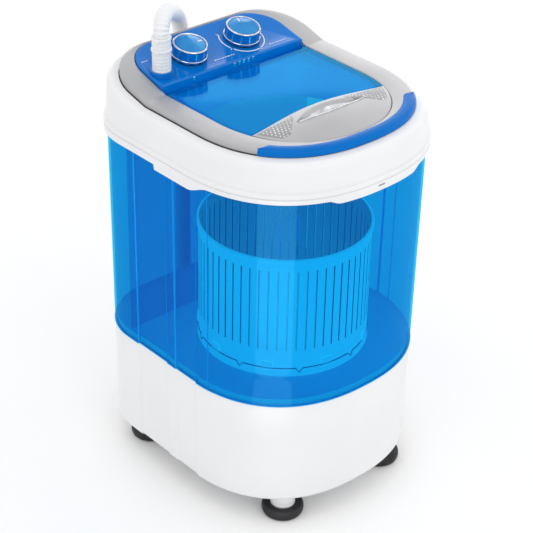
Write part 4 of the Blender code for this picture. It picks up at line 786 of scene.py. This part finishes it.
def make_ring():
    stand = RING_STAND
    lip = stand + RING_BEAD

    def rim(offset, drop, share=1.0):
        return body_ring(offset, lambda x, y: RIM_Z - drop + ring_rise(y) * share)

    def low(offset, up):
        return body_ring(offset, lambda x, y: ring_foot(x, y) + up)

    rings = [
        low(stand - 0.0025, 0.0), low(lip - 0.0013, 0.0), low(lip - 0.0004, 0.0004), low(lip, 0.0014),
        body_ring(lip, RING_Z + 0.0062),
        body_ring(lip - 0.0014, RING_Z + 0.0067),
        body_ring(lip - 0.0014, RING_Z + 0.0079),
        body_ring(lip, RING_Z + 0.0084),
        body_ring(lip, RING_Z + 0.0128),
        body_ring(lip - 0.0005, RING_Z + 0.0140),
        body_ring(stand - 0.0016, RING_Z + 0.0146),
        body_ring(stand - 0.0022, lambda x, y: RING_Z + 0.0165 + ring_rise(y) * 0.2),
        rim(stand - 0.0040, 0.0150, 0.9),
    ]
    for turn in quarter(10, 1):
        rings.append(rim(stand - 0.0042 - 0.0085 * (1 - math.cos(turn)),
                         0.0012 + 0.0115 * (1 - math.sin(turn))))
    rings += [rim(-0.0125, 0.0006), rim(-RIM_INSET + 0.0010, 0.0001), rim(-RIM_INSET, 0.0006),
              rim(-RIM_INSET, 0.0090), rim(stand - 0.0085, 0.0140)]
    rings.append(body_ring(stand - 0.0025, TUB_TOP + 0.002))
    put("ring_cover", *loft(rings, closed=True), WHITE, "machine", ["top_ring"])
    front = FRONT_DEPTH + lip
    slot = rounded_bar((-0.0055, -front - 0.0003, RING_Z + 0.0010),
                       (0.0055, -front + 0.0010, RING_Z + 0.0036))
    put("latch_slot", *slot, GRIP_GREY, "machine")


def deck_height(x, y):
    return DECK_Z + trim_rise(y)


def deck(down):
    """Height of a line below the deck, for a ring of points."""
    return lambda x, y: deck_height(x, y) - down


def seat_height(x, y):
    return DECK_Z - SEAT_DEPTH + trim_rise(y)


def make_trim():
    outer = -RIM_INSET - 0.0003
    edge = body_outline(outer - 0.0030)
    mouth = opening_outline(0.0018)

    def hang(x, y):
        return RIM_Z - 0.008 + ring_rise(y)

    rings = [body_ring(outer, hang)]
    for turn in quarter(5):
        rings.append(body_ring(outer - 0.0030 * (1 - math.cos(turn)), deck(0.0030 * (1 - math.sin(turn)))))
    for share in (0.12, 0.25, 0.40, 0.55, 0.70, 0.84, 0.94):
        crown = 0.0007 * math.sin(math.pi * share)
        rings.append(at_height(between(edge, mouth, share), deck(-crown)))
    for turn in quarter(4):
        rings.append(opening_ring(0.0018 * (1 - math.sin(turn)), deck(0.0014 * (1 - math.cos(turn)))))
    rings += [opening_ring(0.0, deck(0.0090)), opening_ring(0.0020, deck(0.0090)),
              opening_ring(0.0020, deck(0.0040)),
              body_ring(outer - 0.0035, deck(0.0055)), body_ring(outer - 0.0020, hang)]
    put("trim_surround", *loft(rings, closed=True), SILVER, "machine", ["trim_frame"])

    mouth = opening_outline(0.0002)
    circle = onto_circle(mouth, THROAT_RADIUS)
    outside = onto_circle(mouth, THROAT_RADIUS + 0.0025)
    throat_top, throat_low = DECK_Z - SEAT_DEPTH, DECK_Z - SEAT_DEPTH - THROAT_DEPTH

    def seat(x, y):
        return seat_height(x, y) - 0.0003

    rings = [
        opening_ring(0.0022, deck(0.0094)),
        at_height(mouth, deck(0.0094)),
        at_height(mouth, seat),
        at_height(between(mouth, circle, 0.35), seat),
        at_height(between(mouth, circle, 0.70), seat),
        at_height(between(mouth, circle, 0.93), seat),
        at_height(circle, lambda x, y: seat(x, y) - 0.0012),
        at_height(circle, throat_low),
        at_height(outside, throat_low),
        at_height(outside, lambda x, y: seat(x, y) - 0.0025),
        opening_ring(0.0022, lambda x, y: seat(x, y) - 0.0025),
    ]
    put("throat_ledge", *loft(rings, closed=True), LEDGE_BLUE, "machine")
    # A near-black band where the silver trim meets the white ring: a painted shadow line.
    rings = [body_ring(-RIM_INSET + out, lambda x, y, up=up: RIM_Z + up + ring_rise(y))
             for out, up in ((-0.0002, -0.0010), (-0.0002, 0.0012), (0.0007, 0.0012), (0.0010, 0.0006),
                             (0.0010, -0.0010))]
    put("trim_shadow_line", *loft(rings, closed=True), SHADOW_BLACK, "machine")


def make_crescent():
    columns = 120
    outer = -RIM_INSET
    half, depth = HALF_WIDTH + outer, FRONT_DEPTH + outer
    reach = math.acos((0.1300 / half) ** (FRONT_POWER / 2))
    high = DECK_Z + 0.0020
    # Shares of the half length: pointed on the left, blunt on the right.
    left_end, right_end, taper = 1.03, 0.955, 0.085
    rows_top, rows_low = [], []
    for i in range(columns + 1):
        part = -left_end + (left_end + right_end) * i / columns
        turn = math.pi / 2 - (math.pi / 2 - reach) * abs(part)
        x = math.copysign(half * max(0.0, math.cos(turn)) ** (2 / FRONT_POWER), part)
        y = -depth * math.sin(turn) ** (2 / FRONT_POWER)
        blunt = math.sqrt(max(0.0, 1 - (max(0.0, part) / right_end) ** 40))
        width = 0.0022 + 0.0130 * blunt * min(1.0, (part + left_end) / taper)
        way = Vector((x, y)).normalized()

        def at(inward, z):
            return (x - way.x * inward, y - way.y * inward, z)

        rows_top.append([at(width, high - 0.0014), at(width - 0.0008, high - 0.0003),
                         at(width * 0.75, high + 0.0002),
                         at(width * 0.5, high + 0.0003), at(width * 0.25, high), at(0.0006, high - 0.0009),
                         at(-0.0009, high - 0.0024), at(-0.0018, high - 0.0045), at(-0.0021, RIM_Z + 0.0010)])
        rows_low.append([at(width, DECK_Z + 0.0003), at(width - 0.0008, DECK_Z + 0.0003),
                         at(width * 0.75, DECK_Z + 0.0003), at(width * 0.5, DECK_Z + 0.0003),
                         at(width * 0.25, DECK_Z + 0.0003), at(0.0004, DECK_Z + 0.0003),
                         at(0.0, DECK_Z - 0.0006), at(-0.0004, DECK_Z - 0.0030), at(-0.0004, RIM_Z + 0.0010)])
    put("crescent_strip", *grid_solid(rows_top, rows_low), CRESCENT_BLUE, "machine", ["crescent_accent"])


# ---------------------------------------------------------------- lid
def lid_side_x(y, inset):
    front = LID_FRONT - inset
    bow = max(0.0, 1 - (max(0.0, -y) / front) ** LID_POWER) ** (1 / LID_POWER)
    return (LID_HALF_WIDTH - inset) * bow


def window_edge_y(x):
    corner = lid_side_x(WINDOW_FRONT_Y, LID_FIT)
    return WINDOW_FRONT_Y + WINDOW_BOW * math.cos(math.pi / 2 * min(1.0, abs(x) / corner)) ** 1.5


def make_window():
    rows, columns = 60, 80
    top, low = DECK_Z, DECK_Z - WINDOW_THICKNESS
    upper, lower = [], []
    for i in range(rows + 1):
        v = i / rows
        y_line = LID_REAR_Y + (WINDOW_FRONT_Y - LID_REAR_Y) * v
        up, down = [], []
        for j in range(columns + 1):
            u = 2 * j / columns - 1
            x = u * lid_side_x(y_line, LID_FIT)
            y = LID_REAR_Y + (window_edge_y(x) - LID_REAR_Y) * v
            near = min((1 - abs(u)) * 0.12, v * 0.16, (1 - v) * 0.16 + 0.0012)
            roll = 0.0009 * (1 - smooth_step(near, 0.0, 0.0022))
            crown = 0.0010 * (1 - u * u) * math.sin(math.pi * min(1.0, v * 1.05))
            up.append((x, y, top - roll + crown))
            down.append((x, y, low + crown * 0.8))
        upper.append(up)
        lower.append(down)
    put("window_pane", *grid_solid(upper, lower), WINDOW_BLUE, "lid", ["lid_window"])
    shapes = []
    for side in (-1, 1):
        line = [LID_REAR_Y - 0.002 - 0.158 * i / 60 for i in range(61)]
        path = [(side * (lid_side_x(y, LID_FIT) - 0.0050), y, low + 0.0002) for y in line]
        shapes.append(tube(path, lambda s: 0.0016, 10))
        out = side * (LID_HALF_WIDTH - LID_FIT)
        inside = out - side * 0.0075
        z = DECK_Z - HINGE_DROP
        shapes.append(rounded_bar((min(out, inside), HINGE_Y - 0.0040, z - 0.0035),
                                  (max(out, inside), HINGE_Y + 0.0030, low + 0.001)))
    line = [-0.108 + 0.216 * i / 40 for i in range(41)]
    path = [(x, window_edge_y(x) + 0.0050, low + 0.0002) for x in line]
    shapes.append(tube(path, lambda s: 0.0016, 10))
    put("window_rib", *merged(*shapes), WINDOW_BLUE, "lid")


def visor_crown(across, along):
    return VISOR_CROWN * (1 - across**2) * math.sin(math.pi * min(1.0, 0.25 + 0.75 * along))


def slot_edges(x):
    """Front and rear edge of the lens-shaped finger slot, and how far along it x lies, from -1 to 1."""
    s = (x - SLOT_X) / SLOT_HALF
    bow = max(0.0, 1 - s * s)
    rear = min(FINGER_Y + 0.0200 * bow, window_edge_y(x) - 0.0018)
    return FINGER_Y - 0.0040 * bow, rear, s


def in_slot(x, y):
    front, rear, s = slot_edges(x)
    return (y - front) / max(1e-6, rear - front), s


def make_visor():
    columns, rows = 200, 84
    corner = lid_side_x(WINDOW_FRONT_Y, LID_FIT)
    half, depth = LID_HALF_WIDTH - LID_FIT, LID_FRONT - LID_FIT
    start = math.acos((corner / half) ** (LID_POWER / 2))
    top = DECK_Z
    upper, lower = [], []
    for i in range(rows + 1):
        along = i / rows
        up, down = [], []
        for j in range(columns + 1):
            across = 2 * j / columns - 1
            turn = math.pi / 2 - (math.pi / 2 - start) * abs(across)
            cosine = max(0.0, math.cos(turn)) ** (2 / LID_POWER)
            arc = (math.copysign(half * cosine, across), -depth * math.sin(turn) ** (2 / LID_POWER))
            rear = (corner * across, window_edge_y(corner * across) - 0.0003)
            x = rear[0] + (arc[0] - rear[0]) * along
            y = rear[1] + (arc[1] - rear[1]) * along
            if j in (0, columns):
                y = rear[1] - 0.0012 * along
                x = math.copysign(lid_side_x(y, LID_FIT), across)
            z = top + visor_crown(across, along)
            t, s = in_slot(x, y)
            if 0 < t < 1 and abs(s) < 1:
                z -= 0.0064 * min(1.0, t / 0.08) * min(1.0, (1 - t) / 0.30) * min(1.0, (1 - abs(s)) / 0.08)
            z -= 0.0010 * (1 - smooth_step(1 - along, 0.0, 0.025))
            up.append((x, y, z))
            down.append((x, y, top - VISOR_THICKNESS))
        upper.append(up)
        lower.append(down)
    put("visor_shell", *grid_solid(upper, lower), SILVER, "lid", ["lid_visor"], smooth=24.0)
    surface_points = [p for row in upper for p in row]

    def height_at(x, y):
        return min(surface_points, key=lambda p: (p[0] - x) ** 2 + (p[1] - y) ** 2)[2]

    def grip_reach(x, y):
        """Positive inside the triangle of each grip."""
        inner = 0.040 + 1.05 * max(0.0, window_edge_y(0.045) - 0.004 - y)
        return min(abs(x) - inner, lid_side_x(y, 0.0050) - abs(x), window_edge_y(x) - 0.0030 - y, y + 0.089)

    dots, pads = [], []
    pitch = 0.0054
    dome = [(0.0, -0.0008), (0.00125, -0.0008), (0.00125, 0.0002), (0.0010, 0.0007), (0.0005, 0.0010),
            (0.0, 0.0011)]
    for i in range(-24, 25):
        for j in range(0, 10):
            x = i * pitch + (pitch / 2 if j % 2 else 0.0)
            y = -0.0500 - j * pitch * 0.866
            if grip_reach(x, y) > 0.0010:
                dots.append(turned(dome, 12, centre=(x, y, height_at(x, y))))
    put("grip_dots", *merged(*dots), CHROME, "lid", slot="silver_paint")
    for side in (-1, 1):
        upper_grid, lower_grid = [], []
        for k in range(17):
            t = k / 16
            y = window_edge_y(0.08) - 0.0035 + (-0.0880 - window_edge_y(0.08) + 0.0035) * t
            start = 0.040 + 1.05 * max(0.0, window_edge_y(0.045) - 0.004 - y)
            end = max(start + 0.0002, lid_side_x(y, 0.0052))
            row, under = [], []
            for m in range(13):
                x = side * (start + (end - start) * m / 12)
                at = min(y, window_edge_y(x) - 0.0030)
                z = height_at(x, at)
                row.append((x, at, z + 0.00025))
                under.append((x, at, z - 0.0010))
            upper_grid.append(row)
            lower_grid.append(under)
        pads.append(grid_solid(upper_grid, lower_grid))
    put("grip_pads", *merged(*pads), GRIP_GREY, "lid")
    lip = []
    for i in range(61):
        x = SLOT_X + SLOT_HALF * (i / 30 - 1) * 0.975
        front, _, _ = slot_edges(x)
        lip.append((x, front - 0.0006, height_at(x, front - 0.0012) + 0.0003))
    put("finger_lip", *tube(lip, lambda s: 0.0009, 12), CHROME, "lid", slot="silver_paint")
    insert_top, insert_low = [], []
    for i in range(49):
        x = SLOT_X + SLOT_HALF * (i / 24 - 1) * 0.95
        front, rear, s = slot_edges(x)
        up, down = [], []
        for k in range(11):
            t = 0.34 + 0.62 * k / 10
            z = DECK_Z + VISOR_CROWN * 0.45 * (1 - s * s) - 0.0042 + 0.0042 * (k / 10) ** 1.6
            up.append((x, front + (rear - front) * t, z))
            down.append((x, front + (rear - front) * t, z - 0.0010))
        insert_top.append(up)
        insert_low.append(down)
    put("finger_insert", *grid_solid(insert_top, insert_low), CHROME, "lid", slot="silver_paint")


# ---------------------------------------------------------------- control panel and knobs
CONSOLE = Matrix.Translation((0.0, PANEL_FRONT_Y, DECK_Z + PANEL_STEP)) @ Matrix.Rotation(PANEL_TILT, 4, "X")
KNOB_ALONG = (KNOB_Y - PANEL_FRONT_Y) / math.cos(PANEL_TILT)


def panel_top(x, y):
    return DECK_Z + PANEL_STEP + (y - PANEL_FRONT_Y) * math.tan(PANEL_TILT)


def make_panel():
    side = LID_HALF_WIDTH - LID_FIT
    rear = [(x, y) for x, y in opening_outline(-LID_FIT) if y > PANEL_FRONT_Y + 0.0012]
    middle = rear.index(max(rear, key=lambda p: (p[1], -abs(p[0]))))
    rear = rear[middle:] + rear[:middle]
    cut = next(i for i in range(1, len(rear)) if rear[i][0] > 0 and rear[i - 1][0] < 0 and rear[i][1] < 0.15)
    front = [(-side + 2 * side * i / 40, PANEL_FRONT_Y) for i in range(41)]
    ring = rear[:cut] + front + rear[cut:]
    middle_y = (PANEL_FRONT_Y + PANEL_REAR) / 2

    def inset(by):
        across, along = 1 - by / side, 1 - 2 * by / (PANEL_REAR - PANEL_FRONT_Y)
        return [(x * across, middle_y + (y - middle_y) * along) for x, y in ring]

    def under(x, y):
        return seat_height(x, y) + 0.0022

    rings = [at_height(inset(PANEL_WALL), lambda x, y: panel_top(x, y) - PANEL_WALL),
             at_height(inset(PANEL_WALL), lambda x, y: under(x, y) + PANEL_WALL),
             at_height(ring, under)]
    for turn in quarter(5):
        rings.append(at_height(inset(0.0016 * (1 - math.cos(turn))),
                               lambda x, y, s=math.sin(turn): panel_top(x, y) - 0.0016 * (1 - s)))
    rings.append(at_height(inset(0.0045), panel_top))
    rings.append(at_height(inset(0.0052), lambda x, y: panel_top(x, y) - 0.0003))
    put("panel_cover", *loft(rings), BLUE, "machine", ["control_panel"])
    shapes = []
    for x in (-0.068, 0.001, 0.009, 0.017, 0.025, 0.033):
        shapes.append(rounded_bar((x - 0.0016, PANEL_FRONT_Y - 0.0007, DECK_Z + 0.0012),
                                  (x + 0.0016, PANEL_FRONT_Y + 0.0010, DECK_Z + 0.0064)))
    put("panel_front_ribs", *merged(*shapes), CHROME, "machine")


def on_console(shape):
    return moved(shape, CONSOLE)


def print_bar(x, v, width, height=0.0011, turn=0.0):
    bar = rounded_bar((-width / 2, -height / 2, -0.0002), (width / 2, height / 2, 0.00012), 0.00004)
    return on_console(moved(bar, Matrix.Translation((x, v, 0.0)) @ Matrix.Rotation(turn, 4, "Z")))


def print_arc(x, v, radius, start, end, width):
    steps = 28
    rings = []
    for i in range(steps + 1):
        t = math.radians(start + (end - start) * i / steps)
        c, s = math.cos(t), math.sin(t)
        rings.append([(x + (radius - width / 2) * c, v + (radius - width / 2) * s, -0.0002),
                      (x + (radius + width / 2) * c, v + (radius + width / 2) * s, -0.0002),
                      (x + (radius + width / 2) * c, v + (radius + width / 2) * s, 0.00012),
                      (x + (radius - width / 2) * c, v + (radius - width / 2) * s, 0.00012)])
    return on_console(loft(rings))


def make_print():
    """Generic white marks on the panel: scale arcs, ticks, and short dashes where labels go."""
    shapes = []
    x, v = KNOB_SPACING / 2, KNOB_ALONG
    for start, end in ((142, 204), (211, 281), (288, 358)):
        shapes.append(print_arc(x, v, 0.0312, start, end, 0.0015))
    for angle in (142, 207, 284, 358):
        t = math.radians(angle)
        shapes.append(print_bar(x + 0.0330 * math.cos(t), v + 0.0330 * math.sin(t), 0.0034, 0.0009, t))
    x = -KNOB_SPACING / 2
    for angle in (60, 105, 150):
        t = math.radians(angle)
        shapes.append(print_bar(x + 0.0305 * math.cos(t), v + 0.0305 * math.sin(t), 0.0034, 0.0010, t))
    rows = [(-0.022, 0.0145, [0.003, 0.005, 0.0035, 0.0055, 0.004, 0.006, 0.0035, 0.004]),
            (0.070, 0.0105, [0.003, 0.0045, 0.0035, 0.0050, 0.0035, 0.0045, 0.003, 0.0035]),
            (-0.1115, 0.0550, [0.003, 0.004, 0.0035])]
    for start, v_row, widths in rows:
        place = start
        for k, width in enumerate(widths):
            shapes.append(print_bar(place + width / 2, v_row, width * 0.72, 0.0019 if k == 0 else 0.0010))
            place += width
    put("panel_print", *merged(*shapes), PRINT, "machine")


def knob_shape(radius):
    """Twelve shallow flutes around the side of a knob."""

    def shape(turn, r, z):
        wave = 0.5 + 0.5 * math.cos(12 * turn)
        deep = 0.0011 * smooth_step(wave, 0.55, 0.95)
        return r - (deep if r > radius - 0.0012 else 0.0)

    return shape


def make_knob(kind, x, pointer_turn, ridge_from, ridge_to):
    axis = CONSOLE @ Matrix.Translation((x, KNOB_ALONG, 0.0))
    foot, top = 0.0010, KNOB_HEIGHT
    rim = KNOB_RADIUS
    step = top - 0.0024
    bore = 0.0033

    def add(name, shape, look, replaces=()):
        put(name, *moved(shape, axis), look, kind, replaces)

    base = KNOB_FOOT_RADIUS

    def flank(t):
        return base - 0.0011 + (rim - 0.0002 - base + 0.0011) * t

    profile = [(bore, foot), (base - 0.0012, foot), (base - 0.0002, foot + 0.0006), (base, foot + 0.0016),
               (base, foot + 0.0026), (base - 0.0010, foot + 0.0034), (base - 0.0011, foot + 0.0040)]
    profile += [(flank(i / 7), foot + 0.0040 + (step - 0.0045 - foot) * (i / 7)) for i in range(1, 8)]
    profile += [(rim - 0.0010, step), (rim - 0.0022, step + 0.0002), (rim - 0.0023, top - 0.0007),
                (rim - 0.0030, top - 0.0011), (0.010, top - 0.0008), (0.0, top - 0.0008), (0.0, foot + 0.010),
                (bore, foot + 0.010)]
    add(f"{kind}_cap", turned(profile, 192, True, shape=knob_shape(rim)), BLUE, [f"{kind}_knob"])
    disc = [(0.0, top - 0.0016), (rim - 0.0034, top - 0.0016), (rim - 0.0033, top - 0.0009),
            (rim - 0.0040, top - 0.0006), (0.0, top - 0.0006)]
    add(f"{kind}_top", turned(disc, 96), KNOB_BLUE)
    bezel = [(rim - 0.0021, step + 0.0003), (rim - 0.0006, step + 0.0001), (rim + 0.0003, step + 0.0007),
             (rim + 0.0004, step + 0.0014), (rim - 0.0002, top - 0.0002), (rim - 0.0009, top),
             (rim - 0.0017, top - 0.0002), (rim - 0.0021, top - 0.0007)]
    add(f"{kind}_rim", turned(bezel, 96, True), CHROME, [f"{kind}_knob_bezel"])
    skirt = [(base - 0.0008, foot + 0.0030), (base + 0.0001, foot + 0.0031), (base + 0.0002, foot + 0.0038),
             (base - 0.0004, foot + 0.0043), (base - 0.0010, foot + 0.0042)]
    add(f"{kind}_skirt_line", turned(skirt, 96, True), CHROME)
    # A near-black ring at the foot of the knob: painted shadow.
    gap = [(base - 0.0040, 0.0001), (base - 0.0006, 0.0001), (base - 0.0006, foot - 0.0001),
           (base - 0.0040, foot - 0.0001)]
    put(f"{kind}_shadow_ring", *moved(turned(gap, 64, True), axis), SHADOW_BLACK, "machine")
    # Thin chrome strips down the knob's flutes: painted vertical glints.
    strips = []
    for i in range(12):
        turn = Matrix.Rotation(2 * math.pi * (i + 0.5) / 12, 4, "Z")
        rows_top, rows_low = [], []
        for k in range(7):
            t = k / 6
            r = flank(t)
            z = foot + 0.0046 + (step - 0.0055 - foot) * t
            rows_top.append([(r, -0.0008, z), (r + 0.0003, 0.0, z), (r, 0.0008, z)])
            rows_low.append([(r - 0.0010, -0.0008, z), (r - 0.0010, 0.0, z), (r - 0.0010, 0.0008, z)])
        strips.append(moved(grid_solid(rows_top, rows_low), turn))
    add(f"{kind}_flute_glints", merged(*strips), CHROME)
    ridges = []
    reach = rim - 0.0034
    v = -reach + 0.0016
    while v < reach - 0.001:
        span = math.sqrt(max(0.0, reach**2 - v**2))
        low, high = max(-span, ridge_from), min(span, ridge_to)
        if high - low > 0.003:
            ridges.append(rounded_bar((low, v - 0.0004, top - 0.0010), (high, v + 0.0004, top - 0.0002),
                                      0.0002))
        v += 0.0016
    turn = Matrix.Rotation(pointer_turn, 4, "Z")
    add(f"{kind}_ridges", moved(merged(*ridges), turn), KNOB_BLUE)
    mark = rounded_bar((0.0110, -0.0009, top - 0.0010), (0.0186, 0.0009, top), 0.0003)
    add(f"{kind}_pointer", moved(mark, turn), PRINT)


# ---------------------------------------------------------------- hose
def hose_route():
    start_z = PORT_Z + CUFF_HEIGHT + 0.0006
    end_z = ELBOW_TOP_Z + 0.0006
    way = Vector((HOSE_DOWN_X - PORT_X, HOSE_DOWN_Y - PORT_Y))
    run = way.length
    way.normalize()
    arch = [(0.0, 0.0), (0.0, 0.005), (0.0025, 0.0115), (0.0085, 0.0165), (0.0180, 0.0185), (0.0330, 0.0175),
            (0.0520, 0.0120), (0.0740, 0.0030), (0.0960, -0.0080), (0.1160, -0.0210), (0.1340, -0.0380),
            (run - 0.0065, -0.0550), (run - 0.0015, -0.0780), (run, -0.1050)]
    points = [(PORT_X + way.x * s, PORT_Y + way.y * s, start_z + z) for s, z in arch]
    low = start_z + arch[-1][1]
    points += [(HOSE_DOWN_X, HOSE_DOWN_Y, low + (end_z - low) * i / 6) for i in range(1, 7)]
    return points


def smooth_through(points, step):
    knots = [Vector(p) for p in points]
    ends = [2 * knots[0] - knots[1], *knots, 2 * knots[-1] - knots[-2]]
    fine = []
    for a, b, c, d in zip(ends, ends[1:], ends[2:], ends[3:]):
        pieces = max(1, round((c - b).length / step))
        for i in range(pieces):
            t = i / pieces
            fine.append(0.5 * (2 * b + (c - a) * t + (2 * a - 5 * b + 4 * c - d) * t**2
                               + (3 * b - 3 * c + d - a) * t**3))
    fine.append(knots[-1])
    return fine


def make_hose():
    path = smooth_through(hose_route(), 0.00055)
    radius = HOSE_DIAMETER / 2
    pitch = 0.0044

    def ribbed(along):
        wave = 0.5 + 0.5 * math.cos(2 * math.pi * along / pitch)
        return radius - 0.0013 * (1 - smooth_step(wave, 0.10, 0.75))

    shape = tube([tuple(p) for p in path], ribbed, 32)
    hose = put("ribbed_hose", *shape, HOSE_WHITE, "machine", ["drain_hose"], smooth=60.0)


def make_cuff():
    where = (PORT_X, PORT_Y, PORT_Z)
    r = CUFF_RADIUS
    profile = [(r - 0.0022, -0.012), (r, -0.012), (r, 0.002)]
    z = 0.004
    while z < CUFF_HEIGHT - 0.004:
        swell = 0.0012 if abs(z - CUFF_HEIGHT * 0.64) < 0.0025 else 0.0
        profile += [(r - 0.0005 + swell, z - 0.0009), (r + swell, z), (r + swell, z + 0.0024),
                    (r - 0.0005 + swell, z + 0.0033)]
        z += 0.0045
    profile += [(r - 0.0004, CUFF_HEIGHT - 0.0035), (r + 0.0007, CUFF_HEIGHT - 0.0028),
                (r + 0.0007, CUFF_HEIGHT - 0.0006), (r, CUFF_HEIGHT), (r - 0.0022, CUFF_HEIGHT)]
    put("cuff_sleeve", *turned(profile, 64, True, centre=where), HOSE_WHITE, "machine", ["hose_cuff"])
    shapes = []
    for turn, z, size in ((-2.65, 0.0325, 0.0022), (0.50, 0.0325, 0.0022), (-2.65, 0.0470, 0.0016)):
        tab = rounded_bar((r - 0.0006, -0.0030, z - size), (r + 0.0026, 0.0030, z + size), 0.0005)
        shapes.append(moved(tab, Matrix.Translation(where) @ Matrix.Rotation(turn, 4, "Z")))
    seam = rounded_bar((r - 0.0008, -0.0007, 0.003), (r + 0.0005, 0.0007, CUFF_HEIGHT - 0.004), 0.0003)
    shapes.append(moved(seam, Matrix.Translation(where) @ Matrix.Rotation(-2.2, 4, "Z")))
    put("cuff_ears", *merged(*shapes), HOSE_WHITE, "machine")
    lip = (r + 0.0025) * math.tan(PANEL_TILT) + 0.0006
    ring = [(r + 0.0003, lip - 0.0006), (r + 0.0003, -0.0123), (r - 0.0022, -0.0126), (r - 0.0022, -0.026),
            (r + 0.0025, -0.026), (r + 0.0025, lip - 0.0006), (r + 0.0020, lip), (r + 0.0008, lip)]
    put("port_socket", *turned(ring, 64, True, centre=where), BLUE, "machine", ["hose_port"])
    ring = [(r + 0.0004, 0.0), (r + 0.0026, 0.0), (r + 0.0032, 0.0006), (r + 0.0030, 0.0014),
            (r + 0.0006, 0.0014)]
    place = Matrix.Translation(where) @ Matrix.Rotation(PANEL_TILT, 4, "X")
    put("port_collar", *moved(turned(ring, 64, True), place), BLUE, "machine")


def make_back_fittings():
    turn = 0.018
    inside_y = REAR_DEPTH - 0.030
    centre = (HOSE_DOWN_Y - turn, ELBOW_Z + turn)
    path = [(HOSE_DOWN_X, inside_y + (centre[0] - inside_y) * i / 8, ELBOW_Z) for i in range(8)]
    for i in range(17):
        a = -math.pi / 2 + math.pi / 2 * i / 16
        path.append((HOSE_DOWN_X, centre[0] + turn * math.cos(a), centre[1] + turn * math.sin(a)))
    rise = ELBOW_TOP_Z - path[-1][2]
    low = path[-1][2]
    path += [(HOSE_DOWN_X, HOSE_DOWN_Y, low + rise * i / 12) for i in range(1, 13)]
    total = sum((Vector(b) - Vector(a)).length for a, b in zip(path, path[1:]))

    def spigot(along):
        return ELBOW_RADIUS - (0.0004 if int((total - along) / 0.0022) % 2 and total - along < 0.018 else 0.0)

    put("outlet_elbow", *tube(path, spigot, 40, bore=ELBOW_RADIUS - 0.0020), WHITE, "machine",
        ["drain_elbow"])
    collar = [(0.0112, -0.0008), (0.0150, -0.0008), (0.0156, 0.0004), (0.0150, 0.0020), (0.0118, 0.0030),
              (0.0112, 0.0030)]
    place = Matrix.Translation((HOSE_DOWN_X, REAR_DEPTH, ELBOW_Z)) @ Matrix.Rotation(-math.pi / 2, 4, "X")
    put("outlet_collar", *moved(turned(collar, 56, True), place), WHITE, "machine")
    bore = HOSE_DIAMETER / 2 + 0.0003
    outer = bore + 0.0022
    low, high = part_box("hose_clip")
    mouth = math.radians(38.0)
    steps = 40

    def ring(r0, r1):
        turns = [math.pi / 2 + mouth + (2 * math.pi - 2 * mouth) * i / steps for i in range(steps + 1)]
        points = [(r1 * math.cos(t), r1 * math.sin(t)) for t in turns]
        return points + [(r0 * math.cos(t), r0 * math.sin(t)) for t in reversed(turns)]

    rings = []
    for r0, r1, z in ((bore + 0.0006, outer - 0.0006, low.z), (bore, outer, low.z + 0.0006),
                      (bore, outer, high.z - 0.0006), (bore + 0.0006, outer - 0.0006, high.z)):
        rings.append([(HOSE_DOWN_X + x, HOSE_DOWN_Y + y, z) for x, y in ring(r0, r1)])
    back = low.y - AXIS_Y
    foot = rounded_bar((HOSE_DOWN_X - 0.014, back, low.z + 0.002),
                       (HOSE_DOWN_X + 0.014, HOSE_DOWN_Y - bore - 0.0011, high.z - 0.002), 0.0006)
    put("hose_holder", *merged(loft(rings), foot), WHITE, "machine", ["hose_clip"])
    low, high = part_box("cable_gland")
    middle = ((low.x + high.x) / 2, REAR_DEPTH, (low.z + high.z) / 2)
    profile = [(0.0030, -0.012), (0.0080, -0.012), (0.0080, 0.0004), (0.0100, 0.0004), (0.0105, 0.0010),
               (0.0100, 0.0018)]
    for i in range(5):
        z = 0.0022 + i * 0.0014
        profile += [(0.0068 - i * 0.0003, z), (0.0074 - i * 0.0003, z + 0.0004),
                    (0.0068 - i * 0.0003, z + 0.0009)]
    profile += [(0.0052, 0.0092), (0.0030, 0.0092)]
    place = Matrix.Translation(middle) @ Matrix.Rotation(-math.pi / 2, 4, "X")
    put("lead_gland", *moved(turned(profile, 48, True), place), RUBBER, "machine", ["cable_gland"])


# ---------------------------------------------------------------- CAD pieces that stay as they are
def paint_kept_nodes():
    looks = {
        WHITE: ["base_plate", "motor_capacitor"],
        STEEL: ["drive_shaft", "drive_hub", "motor_rotor", "lid_pin_left", "lid_pin_right", "selector_shaft",
                "timer_shaft", "lower_bearing", "upper_bearing"],
        ZINC: ["bearing_housing", "drum_pulley", "motor_pulley", "pulley_nut", "motor_can", "motor_bracket",
               "base_screw_1", "base_screw_2", "base_screw_3", "base_screw_4"],
        RUBBER: ["drive_belt", "drain_pipe", "shaft_seal", "motor_mount_1", "motor_mount_2", "motor_mount_3"],
        CASING: ["selector_switch", "timer_switch"],
        COPPER: ["motor_stator"],
    }
    for look, names in looks.items():
        for name in names:
            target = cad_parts[name]
            if not target.material_slots:
                target.data.materials.append(look)
            for slot in target.material_slots:
                slot.material = look


add_camera()
make_hose()
add_studio()
make_base()
make_feet()
make_tub()
make_basket()
make_pulsator()
make_ring()
make_trim()
make_crescent()
make_window()
make_visor()
make_panel()
make_print()
make_knob("selector", -KNOB_SPACING / 2, math.radians(-4.0), -0.019, 0.006)
make_knob("timer", KNOB_SPACING / 2, math.radians(79.0), -0.019, 0.008)
make_cuff()
make_back_fittings()
paint_kept_nodes()
